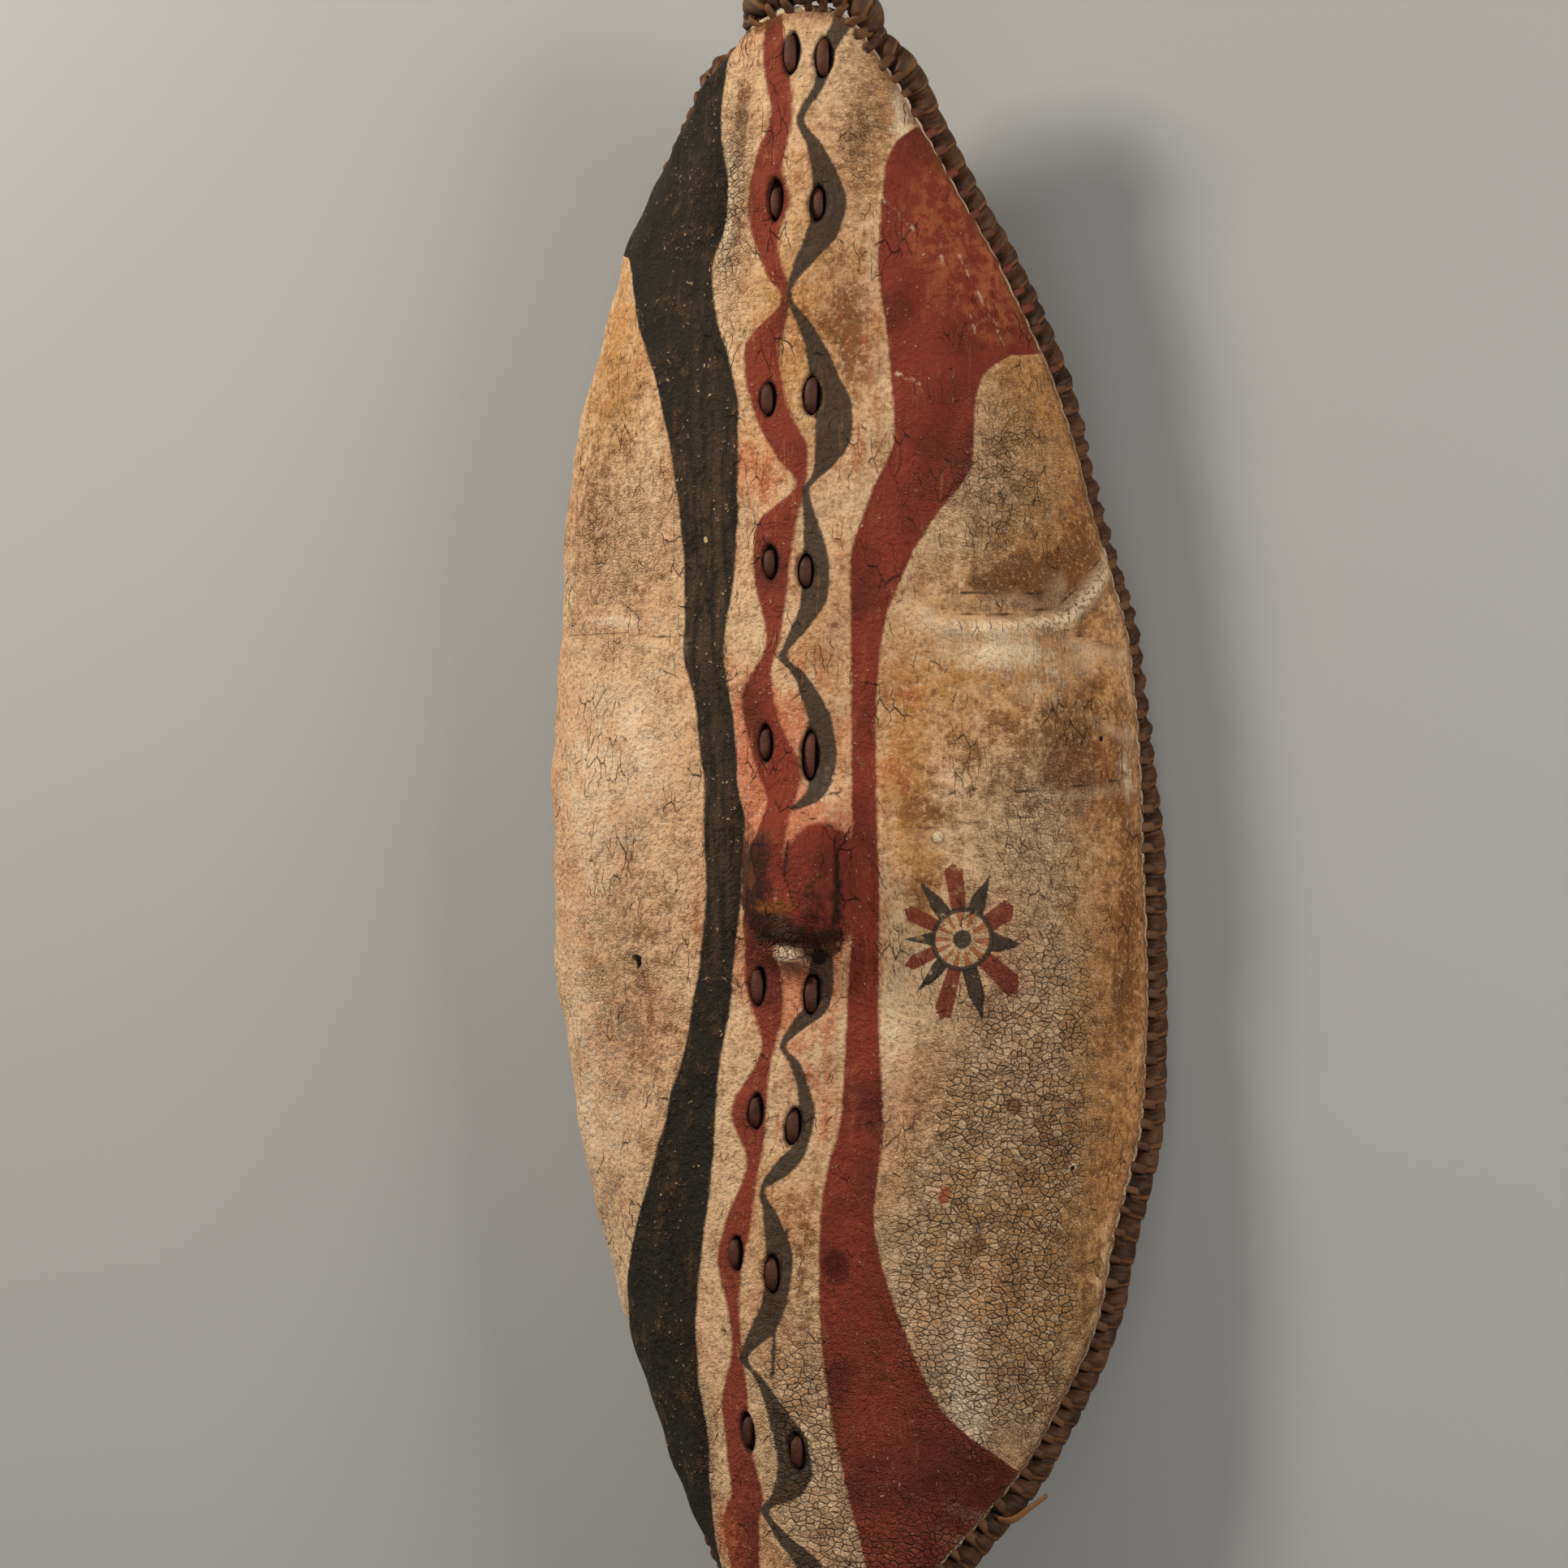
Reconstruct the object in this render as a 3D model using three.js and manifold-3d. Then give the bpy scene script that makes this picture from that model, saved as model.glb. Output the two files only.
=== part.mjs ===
// Hide shield: one sheet of painted rawhide bent over a wooden stave, stiffened by a
// leather-whipped roll sewn round its edge. It lies on the two side runs of that roll,
// painted face up. X runs across, Y along the stave towards the top tip, Z up.

import * as THREE from 'three';
import { mergeVertices } from 'three/addons/utils/BufferGeometryUtils.js';
import Module from 'manifold-3d';

const wasm = await Module();
wasm.setup();

// ---------------------------------------------------------------- driving dimensions
// Millimetres and degrees. Stations along the length are measured from the hand boss.

const HIDE_TOP = 568; // end of the hide at the top tip
const HIDE_FOOT = -503; // end of the hide at the foot tip
const HIDE_THICK = 5;

// Half girth of the flat hide, from the ridge line to each edge: [station, girth].
const GIRTH_LEFT = [[-503, 42], [-445, 84], [-380, 131], [-270, 186], [-150, 237], [0, 265],
  [150, 257], [250, 245], [330, 225], [400, 190], [450, 158], [500, 116], [540, 80], [568, 48]];
const GIRTH_RIGHT = [[-503, 38], [-445, 101], [-380, 173], [-270, 243], [-150, 261], [0, 258],
  [150, 253], [250, 218], [330, 188], [400, 148], [450, 110], [500, 75], [540, 52], [568, 34]];

const RIDGE_HEIGHT = [[-503, 141], [-270, 153], [0, 158], [330, 155], [568, 143]];
const RIDGE_DRIFT = [[-503, 5], [-370, -13], [-250, -25], [-150, -9], [0, 0], [300, 0], [568, 10]];
const TWIST = [[-503, 6], [-270, 7], [-150, 2], [0, -1.5], [568, -1.5]]; // leans the foot left
const BEND = [[-503, 0.45], [-420, 0.85], [-320, 1], [380, 1], [490, 0.85], [568, 0.45]];

// Slope of the section, from the ridge (0) to the edge (1), where it is fully bent.
const SHOULDER = 12; // the quick fall beside the ridge
const FALL = 28; // the even fall across the face
const TUCK_LEFT = 62; // the last tuck under at each edge
const TUCK_RIGHT = 44;

const TIP_ROUND = 18; // the corners of each blunt tip fall back by this much
const TIP_REACH = 70;

const BOSS = { x: 8, y: -2, halfWide: 46, halfLong: 66, height: 23 };

const ROLL_RADIUS = 10;
const ROLL_SIDES = 10;
const ROLL_GAP = 4; // daylight between the hide's edge and the roll, crossed by the sewing

const STAVE_TOP = 554;
const STAVE_FOOT = -489;
const STAVE_OFFSET = -0.8;
const STAVE_DEEP = 15;
const STAVE_SECTION = [[-4, 0], [4, 0], [7.5, -3], [7.5, -13], [5.5, -STAVE_DEEP],
  [-5.5, -STAVE_DEEP], [-7.5, -13], [-7.5, -3]];
const STAVE_CLEAR = 2.2; // from the ridge's inner face to the stave
const GRIP_DIP = 12; // how far the stave drops behind the boss, for the fingers
const GRIP_HALF = 45;

// Pairs of slots that lace the hide to the stave: [left station, right station, half spacing].
const LACING = [[537, 534, 10.8], [441, 438, 13.5], [312, 314, 14.5], [206, 200, 11.5],
  [89, 81, 14.5], [-69, -73, 18], [-150, -159, 13], [-243, -255, 13], [-359, -370, 16.5],
  [-464, -471, 12]];
const SLOT_WIDE = 12;
const SLOT_LONG = 29;
const THONG_WIDE = 5.4;
const THONG_THICK = 2.4;
const THONG_LEAN = -0.9; // each thong sits against the left side of its slot
const THONG_SUNK = 1; // and lies this far below the painted face
const THONG_RUN = 9.5; // half the length that shows in the slot
const STRAP_CLEAR = 0.6; // behind the stave
const STRAP_HALF_WIDE = 2.2;

// Grid of the hide: columns from ridge to edge in fiftieths, rows along the length.
const STEPS = 50;
const COLUMNS = [0, 3, 7, 12, 17, 23, 29, 35, 40, 44, 47, 50];
const ROW_STEP = 36;
const FINE_ROW_STEP = 15; // over the boss and towards each tip

// ---------------------------------------------------------------- the bent sheet

// Smooth curve through [station, value] pairs that never overshoots them.
function through(stations) {
  const at = stations.map(([s]) => s);
  const value = stations.map(([, v]) => v);
  const rise = value.slice(1).map((v, i) => (v - value[i]) / (at[i + 1] - at[i]));
  const slope = value.map((_, i) => {
    const before = rise[Math.max(i - 1, 0)];
    const after = rise[Math.min(i, rise.length - 1)];
    return before * after > 0 ? (2 * before * after) / (before + after) : 0;
  });
  return (station) => {
    const s = THREE.MathUtils.clamp(station, at[0], at[at.length - 1]);
    let i = 0;
    while (i < at.length - 2 && s > at[i + 1]) i += 1;
    const span = at[i + 1] - at[i];
    const u = (s - at[i]) / span;
    const v = 1 - u;
    return value[i] * (1 + 2 * u) * v * v + slope[i] * span * u * v * v
      + value[i + 1] * u * u * (3 - 2 * u) - slope[i + 1] * span * u * u * v;
  };
}

const girthLeft = through(GIRTH_LEFT);
const girthRight = through(GIRTH_RIGHT);
const ridgeHeight = through(RIDGE_HEIGHT);
const ridgeDrift = through(RIDGE_DRIFT);
const twist = through(TWIST);
const bend = through(BEND);

// Half section at a station: how far out and how far down the hide is at each step.
function halfSection(side, station) {
  const girth = side < 0 ? girthLeft(station) : girthRight(station);
  const tuck = side < 0 ? TUCK_LEFT : TUCK_RIGHT;
  const lean = -side * twist(station);
  const out = [0];
  const down = [0];
  for (let i = 0; i < STEPS; i += 1) {
    const q = (i + 0.5) / STEPS;
    const slope = SHOULDER * Math.tanh(20 * q) + FALL * q + tuck * q ** 5;
    const angle = THREE.MathUtils.degToRad(lean + bend(station) * slope);
    out.push(out[i] + (Math.cos(angle) * girth) / STEPS);
    down.push(down[i] + (Math.sin(angle) * girth) / STEPS);
  }
  return { out, down };
}

const sections = new Map();

function sectionAt(side, station) {
  const key = `${side} ${station}`;
  if (!sections.has(key)) sections.set(key, halfSection(side, station));
  return sections.get(key);
}

function bossRise(x, y) {
  const u = (x - BOSS.x) / BOSS.halfWide;
  const v = (y - BOSS.y) / BOSS.halfLong;
  const inside = Math.max(0, 1 - u * u - v * v);
  return BOSS.height * inside * inside * (3 - 2 * inside);
}

function tipRound(q, station) {
  const nearTop = THREE.MathUtils.smoothstep(station, HIDE_TOP - TIP_REACH, HIDE_TOP);
  const nearFoot = 1 - THREE.MathUtils.smoothstep(station, HIDE_FOOT, HIDE_FOOT + TIP_REACH);
  return TIP_ROUND * (nearFoot - nearTop) * q ** 2.5;
}

// Middle of the hide's thickness; across runs from -STEPS (left edge) to STEPS (right edge).
function sheet(across, station) {
  const side = across < 0 ? -1 : 1;
  const { out, down } = sectionAt(side, station);
  const step = Math.min(Math.abs(across), STEPS);
  const low = Math.min(Math.floor(step), STEPS - 1);
  const part = step - low;
  const x = side * THREE.MathUtils.lerp(out[low], out[low + 1], part);
  const z = -THREE.MathUtils.lerp(down[low], down[low + 1], part);
  return new THREE.Vector3(
    x + ridgeDrift(station),
    station + tipRound(step / STEPS, station),
    z + ridgeHeight(station) + bossRise(x, station),
  );
}

function sheetNormal(across, station) {
  const left = sheet(Math.max(across - 1, -STEPS), station);
  const right = sheet(Math.min(across + 1, STEPS), station);
  const below = sheet(across, Math.max(station - 2, HIDE_FOOT));
  const above = sheet(across, Math.min(station + 2, HIDE_TOP));
  return right.sub(left).cross(above.sub(below)).normalize();
}

// ---------------------------------------------------------------- mesh helpers

function indexed(points, triangles) {
  const geometry = new THREE.BufferGeometry();
  geometry.setAttribute('position', new THREE.Float32BufferAttribute(points.flatMap(
    (p) => [p.x, p.y, p.z],
  ), 3));
  geometry.setIndex(triangles.flat());
  return geometry;
}

function toSolid(geometry) {
  const bare = geometry.clone();
  bare.deleteAttribute('normal');
  bare.deleteAttribute('uv');
  const welded = mergeVertices(bare, 1e-4);
  return new wasm.Manifold(new wasm.Mesh({
    numProp: 3,
    vertProperties: new Float32Array(welded.attributes.position.array),
    triVerts: new Uint32Array(welded.index.array),
  }));
}

function toGeometry(solid) {
  const mesh = solid.getMesh();
  const geometry = new THREE.BufferGeometry();
  geometry.setAttribute('position', new THREE.BufferAttribute(mesh.vertProperties, 3));
  geometry.setIndex(new THREE.BufferAttribute(mesh.triVerts, 1));
  return geometry;
}

// Closed skin over rings of equal size; the last ring joins the first when looped.
function skin(rings, looped) {
  const sides = rings[0].length;
  const points = rings.flat();
  const triangles = [];
  const spans = looped ? rings.length : rings.length - 1;
  for (let i = 0; i < spans; i += 1) {
    const here = i * sides;
    const next = ((i + 1) % rings.length) * sides;
    for (let j = 0; j < sides; j += 1) {
      const k = (j + 1) % sides;
      triangles.push([here + j, here + k, next + k], [here + j, next + k, next + j]);
    }
  }
  if (!looped) {
    const end = (rings.length - 1) * sides;
    for (let j = 1; j < sides - 1; j += 1) {
      triangles.push([0, j + 1, j], [end, end + j, end + j + 1]);
    }
  }
  return indexed(points, triangles);
}

// ---------------------------------------------------------------- hide

function rowStations() {
  const rows = [HIDE_FOOT];
  while (rows[rows.length - 1] < HIDE_TOP) {
    const at = rows[rows.length - 1];
    const overBoss = Math.abs(at - BOSS.y) < BOSS.halfLong + FINE_ROW_STEP;
    const nearTip = at < HIDE_FOOT + TIP_REACH || at > HIDE_TOP - TIP_REACH;
    rows.push(at + (overBoss || nearTip ? FINE_ROW_STEP : ROW_STEP));
  }
  const excess = rows[rows.length - 1] - HIDE_TOP;
  return rows.map((row, i) => row - (excess * i) / (rows.length - 1));
}

function bentSheet() {
  const columns = [...COLUMNS.slice(1).reverse().map((c) => -c), ...COLUMNS];
  const rings = rowStations().map((station) => {
    const front = columns.map((c) => sheet(c, station)
      .addScaledVector(sheetNormal(c, station), HIDE_THICK / 2));
    const back = columns.map((c) => sheet(c, station)
      .addScaledVector(sheetNormal(c, station), -HIDE_THICK / 2));
    return { front, back };
  });
  const wide = columns.length;
  const points = rings.flatMap(({ front, back }) => [...front, ...back]);
  const triangles = [];
  const quad = (a, b, c, d) => triangles.push([a, b, c], [a, c, d]);
  for (let i = 0; i < rings.length - 1; i += 1) {
    const f = 2 * wide * i;
    const g = f + 2 * wide;
    for (let j = 0; j < wide - 1; j += 1) {
      quad(f + j, f + j + 1, g + j + 1, g + j);
      quad(f + wide + j + 1, f + wide + j, g + wide + j, g + wide + j + 1);
    }
    quad(f + wide, f, g, g + wide);
    quad(f + wide - 1, f + 2 * wide - 1, g + 2 * wide - 1, g + wide - 1);
  }
  const last = 2 * wide * (rings.length - 1);
  for (let j = 0; j < wide - 1; j += 1) {
    quad(j + 1, j, wide + j, wide + j + 1);
    quad(last + j, last + j + 1, last + wide + j + 1, last + wide + j);
  }
  return indexed(points, triangles);
}

function slotCentre(side, [left, right, half]) {
  const station = side < 0 ? left : right;
  return new THREE.Vector3(ridgeDrift(station) + side * half, station, ridgeHeight(station));
}

// Height of the painted face over a point near the ridge.
function faceHeight(x, station) {
  const side = x < ridgeDrift(station) ? -1 : 1;
  const { out, down } = sectionAt(side, station);
  const reach = Math.abs(x - ridgeDrift(station));
  let i = 0;
  while (out[i + 1] < reach) i += 1;
  const fall = THREE.MathUtils.mapLinear(reach, out[i], out[i + 1], down[i], down[i + 1]);
  return ridgeHeight(station) - fall + bossRise(x - ridgeDrift(station), station)
    + HIDE_THICK / 2;
}

function slotCutter(centre) {
  const outline = new THREE.Shape();
  outline.absellipse(0, 0, SLOT_WIDE / 2, SLOT_LONG / 2, 0, 2 * Math.PI, false, 0);
  const cutter = new THREE.ExtrudeGeometry(outline, {
    depth: 60, bevelEnabled: false, curveSegments: 6,
  });
  cutter.translate(centre.x, centre.y, centre.z - 35);
  return cutter;
}

function hideGeometry() {
  let solid = toSolid(bentSheet());
  for (const pair of LACING) {
    for (const side of [-1, 1]) {
      solid = solid.subtract(toSolid(slotCutter(slotCentre(side, pair))));
    }
  }
  return toGeometry(solid);
}

// ---------------------------------------------------------------- edge roll

// Closed line round the hide's edge, with the direction that points away from the hide.
function rimLine() {
  const rows = rowStations();
  const columns = COLUMNS.filter((c, i) => i % 2 === 1);
  const across = [...columns.map((c) => -c).reverse(), ...columns];
  const runs = [
    rows.map((station) => [STEPS, station]),
    across.map((c) => [c, HIDE_TOP]).reverse(),
    rows.map((station) => [-STEPS, station]).reverse(),
    across.map((c) => [c, HIDE_FOOT]),
  ].map((run) => {
    const points = run.map(([c, station]) => sheet(c, station));
    return run.map(([c, station], i) => {
      const before = points[Math.max(i - 1, 0)];
      const after = points[Math.min(i + 1, points.length - 1)];
      const along = after.clone().sub(before);
      const outward = along.cross(sheetNormal(c, station)).normalize();
      return { point: points[i], outward };
    });
  });
  return runs.flatMap((run, i) => {
    const last = run[run.length - 1];
    const turn = last.outward.clone().add(runs[(i + 1) % runs.length][0].outward).normalize();
    return [...run, { point: last.point, outward: turn }];
  });
}

function rollGeometry() {
  const rim = rimLine();
  const centres = rim.map(({ point, outward }) => point.clone()
    .addScaledVector(outward, ROLL_RADIUS + ROLL_GAP));
  const rings = centres.map((centre, i) => {
    const before = centres[(i + centres.length - 1) % centres.length];
    const after = centres[(i + 1) % centres.length];
    const tangent = after.clone().sub(before).normalize();
    const away = rim[i].outward.clone();
    away.addScaledVector(tangent, -away.dot(tangent)).normalize();
    const third = new THREE.Vector3().crossVectors(tangent, away);
    return Array.from({ length: ROLL_SIDES }, (_, j) => {
      const angle = (2 * Math.PI * j) / ROLL_SIDES;
      const p = centre.clone()
        .addScaledVector(away, ROLL_RADIUS * Math.cos(angle))
        .addScaledVector(third, ROLL_RADIUS * Math.sin(angle));
      p.z = Math.max(p.z, 0); // pressed flat where the shield rests
      return p;
    });
  });
  return skin(rings, true);
}

// ---------------------------------------------------------------- stave and lashings

function gripDip(station) {
  return GRIP_DIP * (1 - THREE.MathUtils.smoothstep(Math.abs(station - BOSS.y), 24, GRIP_HALF));
}

function staveTop(station) {
  return ridgeHeight(station) - HIDE_THICK / 2 - STAVE_CLEAR - gripDip(station);
}

function staveGeometry() {
  const stations = [STAVE_FOOT];
  while (stations[stations.length - 1] < STAVE_TOP) {
    const at = stations[stations.length - 1];
    const fine = Math.abs(at - BOSS.y) < GRIP_HALF + 32;
    stations.push(Math.min(at + (fine ? 8 : 30), STAVE_TOP));
  }
  const rings = stations.map((y) => STAVE_SECTION.map(([dx, dz]) => new THREE.Vector3(
    ridgeDrift(y) + STAVE_OFFSET + dx,
    y,
    staveTop(y) + dz,
  )));
  return skin(rings, false);
}

// A lashing is one closed loop of thong: it lies along both slots of a pair and passes
// behind the stave at their upper and lower ends. Each ring is the mitre at one corner.
function lashingGeometry(pair) {
  const wide = THONG_WIDE / 2;
  const thick = THONG_THICK / 2;
  const corner = (side, end) => {
    const slot = slotCentre(side, pair);
    const x = slot.x + THONG_LEAN;
    const y = slot.y + end * THONG_RUN;
    const face = Math.min(faceHeight(x - wide, slot.y), faceHeight(x + wide, slot.y));
    const behind = Math.min(...pair.slice(0, 2).map((at) => staveTop(at + end * THONG_RUN)))
      - STAVE_DEEP - STRAP_CLEAR - thick;
    const out = end * thick;
    const strap = end * STRAP_HALF_WIDE;
    const spread = side * wide;
    const front = face - THONG_SUNK - thick;
    return {
      front: [[spread, out, thick], [-spread, out, thick], [-spread, -out, -thick],
        [spread, -out, -thick]].map(([dx, dy, dz]) => new THREE.Vector3(x + dx, y + dy, front + dz)),
      rear: [[spread, strap, -thick], [-spread, strap, thick], [-spread, -strap, thick],
        [spread, -strap, -thick]].map(([dx, dy, dz]) => new THREE.Vector3(x + dx, y + dy, behind + dz)),
    };
  };
  const [leftLow, leftHigh, rightLow, rightHigh] = [
    corner(-1, -1), corner(-1, 1), corner(1, -1), corner(1, 1)];
  return skin([leftLow.front, leftHigh.front, leftHigh.rear, rightHigh.rear,
    rightHigh.front, rightLow.front, rightLow.rear, leftLow.rear], true);
}

// ---------------------------------------------------------------- the shield

function piece(name, geometry, material) {
  const mesh = new THREE.Mesh(geometry, material);
  mesh.name = name;
  return mesh;
}

const rawhide = new THREE.MeshStandardMaterial({ color: 0xb8966a, roughness: 0.75, metalness: 0 });
const leather = new THREE.MeshStandardMaterial({ color: 0x4a3220, roughness: 0.7, metalness: 0 });
const thong = new THREE.MeshStandardMaterial({ color: 0x6e3b26, roughness: 0.65, metalness: 0 });
const wood = new THREE.MeshStandardMaterial({ color: 0x7a5a38, roughness: 0.8, metalness: 0 });

const body = new THREE.Group();
body.add(piece('hide', hideGeometry(), rawhide));
body.add(piece('edge_binding', rollGeometry(), leather));
body.add(piece('stave', staveGeometry(), wood));
LACING.forEach((pair, i) => {
  const name = `lashing_${String(i + 1).padStart(2, '0')}`;
  body.add(piece(name, lashingGeometry(pair), thong));
});

// The origin is under the middle of the whole shield, on the surface it lies on.
const middle = new THREE.Box3().setFromObject(body, true).getCenter(new THREE.Vector3());
body.position.set(-middle.x, -middle.y, 0);

const shield = new THREE.Group();
shield.add(body);

export default shield;
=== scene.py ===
"""Looks of a painted rawhide shield: hide, edge roll, sewing, lashings, stave and studio.

All lengths are millimetres until a mesh is made. A place on the hide is given as
(station, across): the station runs along the ridge from the hand boss towards the top
tip, and across is measured round the curve from the ridge, positive to the right.
"""

import logging
import math
from dataclasses import dataclass, field
from enum import Enum

import bpy
import numpy as np
from mathutils import Matrix, Vector

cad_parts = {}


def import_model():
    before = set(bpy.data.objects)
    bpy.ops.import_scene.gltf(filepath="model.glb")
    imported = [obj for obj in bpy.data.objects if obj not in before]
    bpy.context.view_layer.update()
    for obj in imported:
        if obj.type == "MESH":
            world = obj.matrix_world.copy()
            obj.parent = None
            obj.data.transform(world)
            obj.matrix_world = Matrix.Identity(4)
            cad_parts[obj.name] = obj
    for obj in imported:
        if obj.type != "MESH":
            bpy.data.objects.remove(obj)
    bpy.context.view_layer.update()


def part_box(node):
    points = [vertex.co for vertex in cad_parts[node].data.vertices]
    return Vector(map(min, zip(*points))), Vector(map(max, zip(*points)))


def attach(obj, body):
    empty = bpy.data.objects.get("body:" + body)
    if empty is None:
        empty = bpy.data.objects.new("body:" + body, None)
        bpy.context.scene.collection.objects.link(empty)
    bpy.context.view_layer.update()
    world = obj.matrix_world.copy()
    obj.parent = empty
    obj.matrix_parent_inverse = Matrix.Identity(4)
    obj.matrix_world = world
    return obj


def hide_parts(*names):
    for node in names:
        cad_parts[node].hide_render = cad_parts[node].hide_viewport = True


LOG = logging.getLogger("hide_shield")
MM = 0.001
SEED = 11

Stations = tuple[tuple[float, float], ...]
Place = tuple[float, float]
Hex = str
Socket = bpy.types.NodeSocket


# ------------------------------------------------------------------ shared helpers

def through(stations: Stations, at: np.ndarray) -> np.ndarray:
    """Smooth curve through (station, value) pairs that never overshoots them.

    Args:
        stations: pairs in rising order of station.
        at: stations to read the curve at.

    Returns:
        The value at each station.
    """
    x, y = np.array(stations, float).T
    span = np.diff(x)
    rise = np.diff(y) / span
    before, after = np.r_[rise[:1], rise], np.r_[rise, rise[-1:]]
    agree = before * after > 0
    slope = np.where(agree, 2 * before * after / np.where(agree, before + after, 1), 0)
    at = np.clip(at, x[0], x[-1])
    i = np.clip(np.searchsorted(x, at, side="right") - 1, 0, len(x) - 2)
    u = (at - x[i]) / span[i]
    v = 1 - u
    return (y[i] * (1 + 2 * u) * v * v + slope[i] * span[i] * u * v * v
            + y[i + 1] * u * u * (3 - 2 * u) - slope[i + 1] * span[i] * u * u * v)


def smoothstep(low: float, high: float, value: np.ndarray) -> np.ndarray:
    """Eased step from 0 at low to 1 at high."""
    u = np.clip((value - low) / (high - low), 0, 1)
    return u * u * (3 - 2 * u)


def unit(vectors: np.ndarray) -> np.ndarray:
    """Vectors scaled to length one along the last axis."""
    return vectors / np.maximum(np.linalg.norm(vectors, axis=-1, keepdims=True), 1e-9)


def line_distance(points: np.ndarray, line: np.ndarray) -> tuple[np.ndarray, np.ndarray]:
    """Distance from points to an open broken line in the plane.

    Args:
        points: array (..., 2).
        line: array (n, 2) of the line's corners.

    Returns:
        The distance, and the side: positive to the left of the line's direction.
    """
    best = np.full(points.shape[:-1], 1e9)
    side = np.zeros_like(best)
    for a, b in zip(line[:-1], line[1:]):
        ab = b - a
        ap = points - a
        part = np.clip((ap @ ab) / (ab @ ab), 0, 1)
        away = ap - part[..., None] * ab
        dist = np.linalg.norm(away, axis=-1)
        closer = dist < best
        best = np.where(closer, dist, best)
        side = np.where(closer, np.sign(ab[0] * ap[..., 1] - ab[1] * ap[..., 0]), side)
    return best, side


def sweep_faces(rings: int, sides: int, looped: bool) -> list[tuple[int, ...]]:
    """Quads of a skin over rings of equal size, with end caps unless looped.

    Args:
        rings: how many rings there are.
        sides: points in each ring.
        looped: whether the last ring joins the first.

    Returns:
        The faces as tuples of point numbers.
    """
    faces = []
    for i in range(rings if looped else rings - 1):
        here, there = i * sides, ((i + 1) % rings) * sides
        for j in range(sides):
            k = (j + 1) % sides
            faces.append((here + j, here + k, there + k, there + j))
    if not looped:
        last = (rings - 1) * sides
        faces.append(tuple(range(sides))[::-1])
        faces.append(tuple(range(last, last + sides)))
    return faces


@dataclass
class Skin:
    """A mesh in the making, in shield millimetres, with per-point values."""

    points: np.ndarray
    faces: list[tuple[int, ...]]
    values: dict[str, np.ndarray] = field(default_factory=dict)

    @staticmethod
    def joined(skins: list["Skin"]) -> "Skin":
        """One skin made of several, with their values kept.

        Args:
            skins: the skins, all with the same values.

        Returns:
            The joined skin.
        """
        faces, start = [], 0
        for skin in skins:
            faces += [tuple(start + i for i in face) for face in skin.faces]
            start += len(skin.points)
        names = skins[0].values
        values = {n: np.concatenate([s.values[n] for s in skins]) for n in names}
        return Skin(np.concatenate([s.points for s in skins]), faces, values)

    def make(self, name: str, material: bpy.types.Material, slot: str,
             replaced: tuple[str, ...] = ()) -> bpy.types.Object:
        """Makes the Blender object and hangs it under the root body.

        Args:
            name: name of the piece.
            material: its finish.
            slot: the record's material slot; not used.
            replaced: CAD nodes that the piece stands for.

        Returns:
            The new object.
        """
        mesh = bpy.data.meshes.new(name)
        mesh.from_pydata((self.points * MM).tolist(), [], self.faces)
        for key, value in self.values.items():
            kind = "FLOAT_VECTOR" if value.ndim == 2 else "FLOAT"
            slot_name = "vector" if value.ndim == 2 else "value"
            layer = mesh.attributes.new(key, kind, "POINT")
            layer.data.foreach_set(slot_name, np.ascontiguousarray(value, np.float32).ravel())
        mesh.shade_smooth()
        mesh.materials.append(material)
        mesh.validate()
        piece = bpy.data.objects.new(name, mesh)
        bpy.context.scene.collection.objects.link(piece)
        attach(piece, "root")
        if replaced:
            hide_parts(*replaced)
        LOG.info("%s: %d points, %d faces", name, len(self.points), len(self.faces))
        return piece


# ------------------------------------------------------------------ form of the hide

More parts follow.
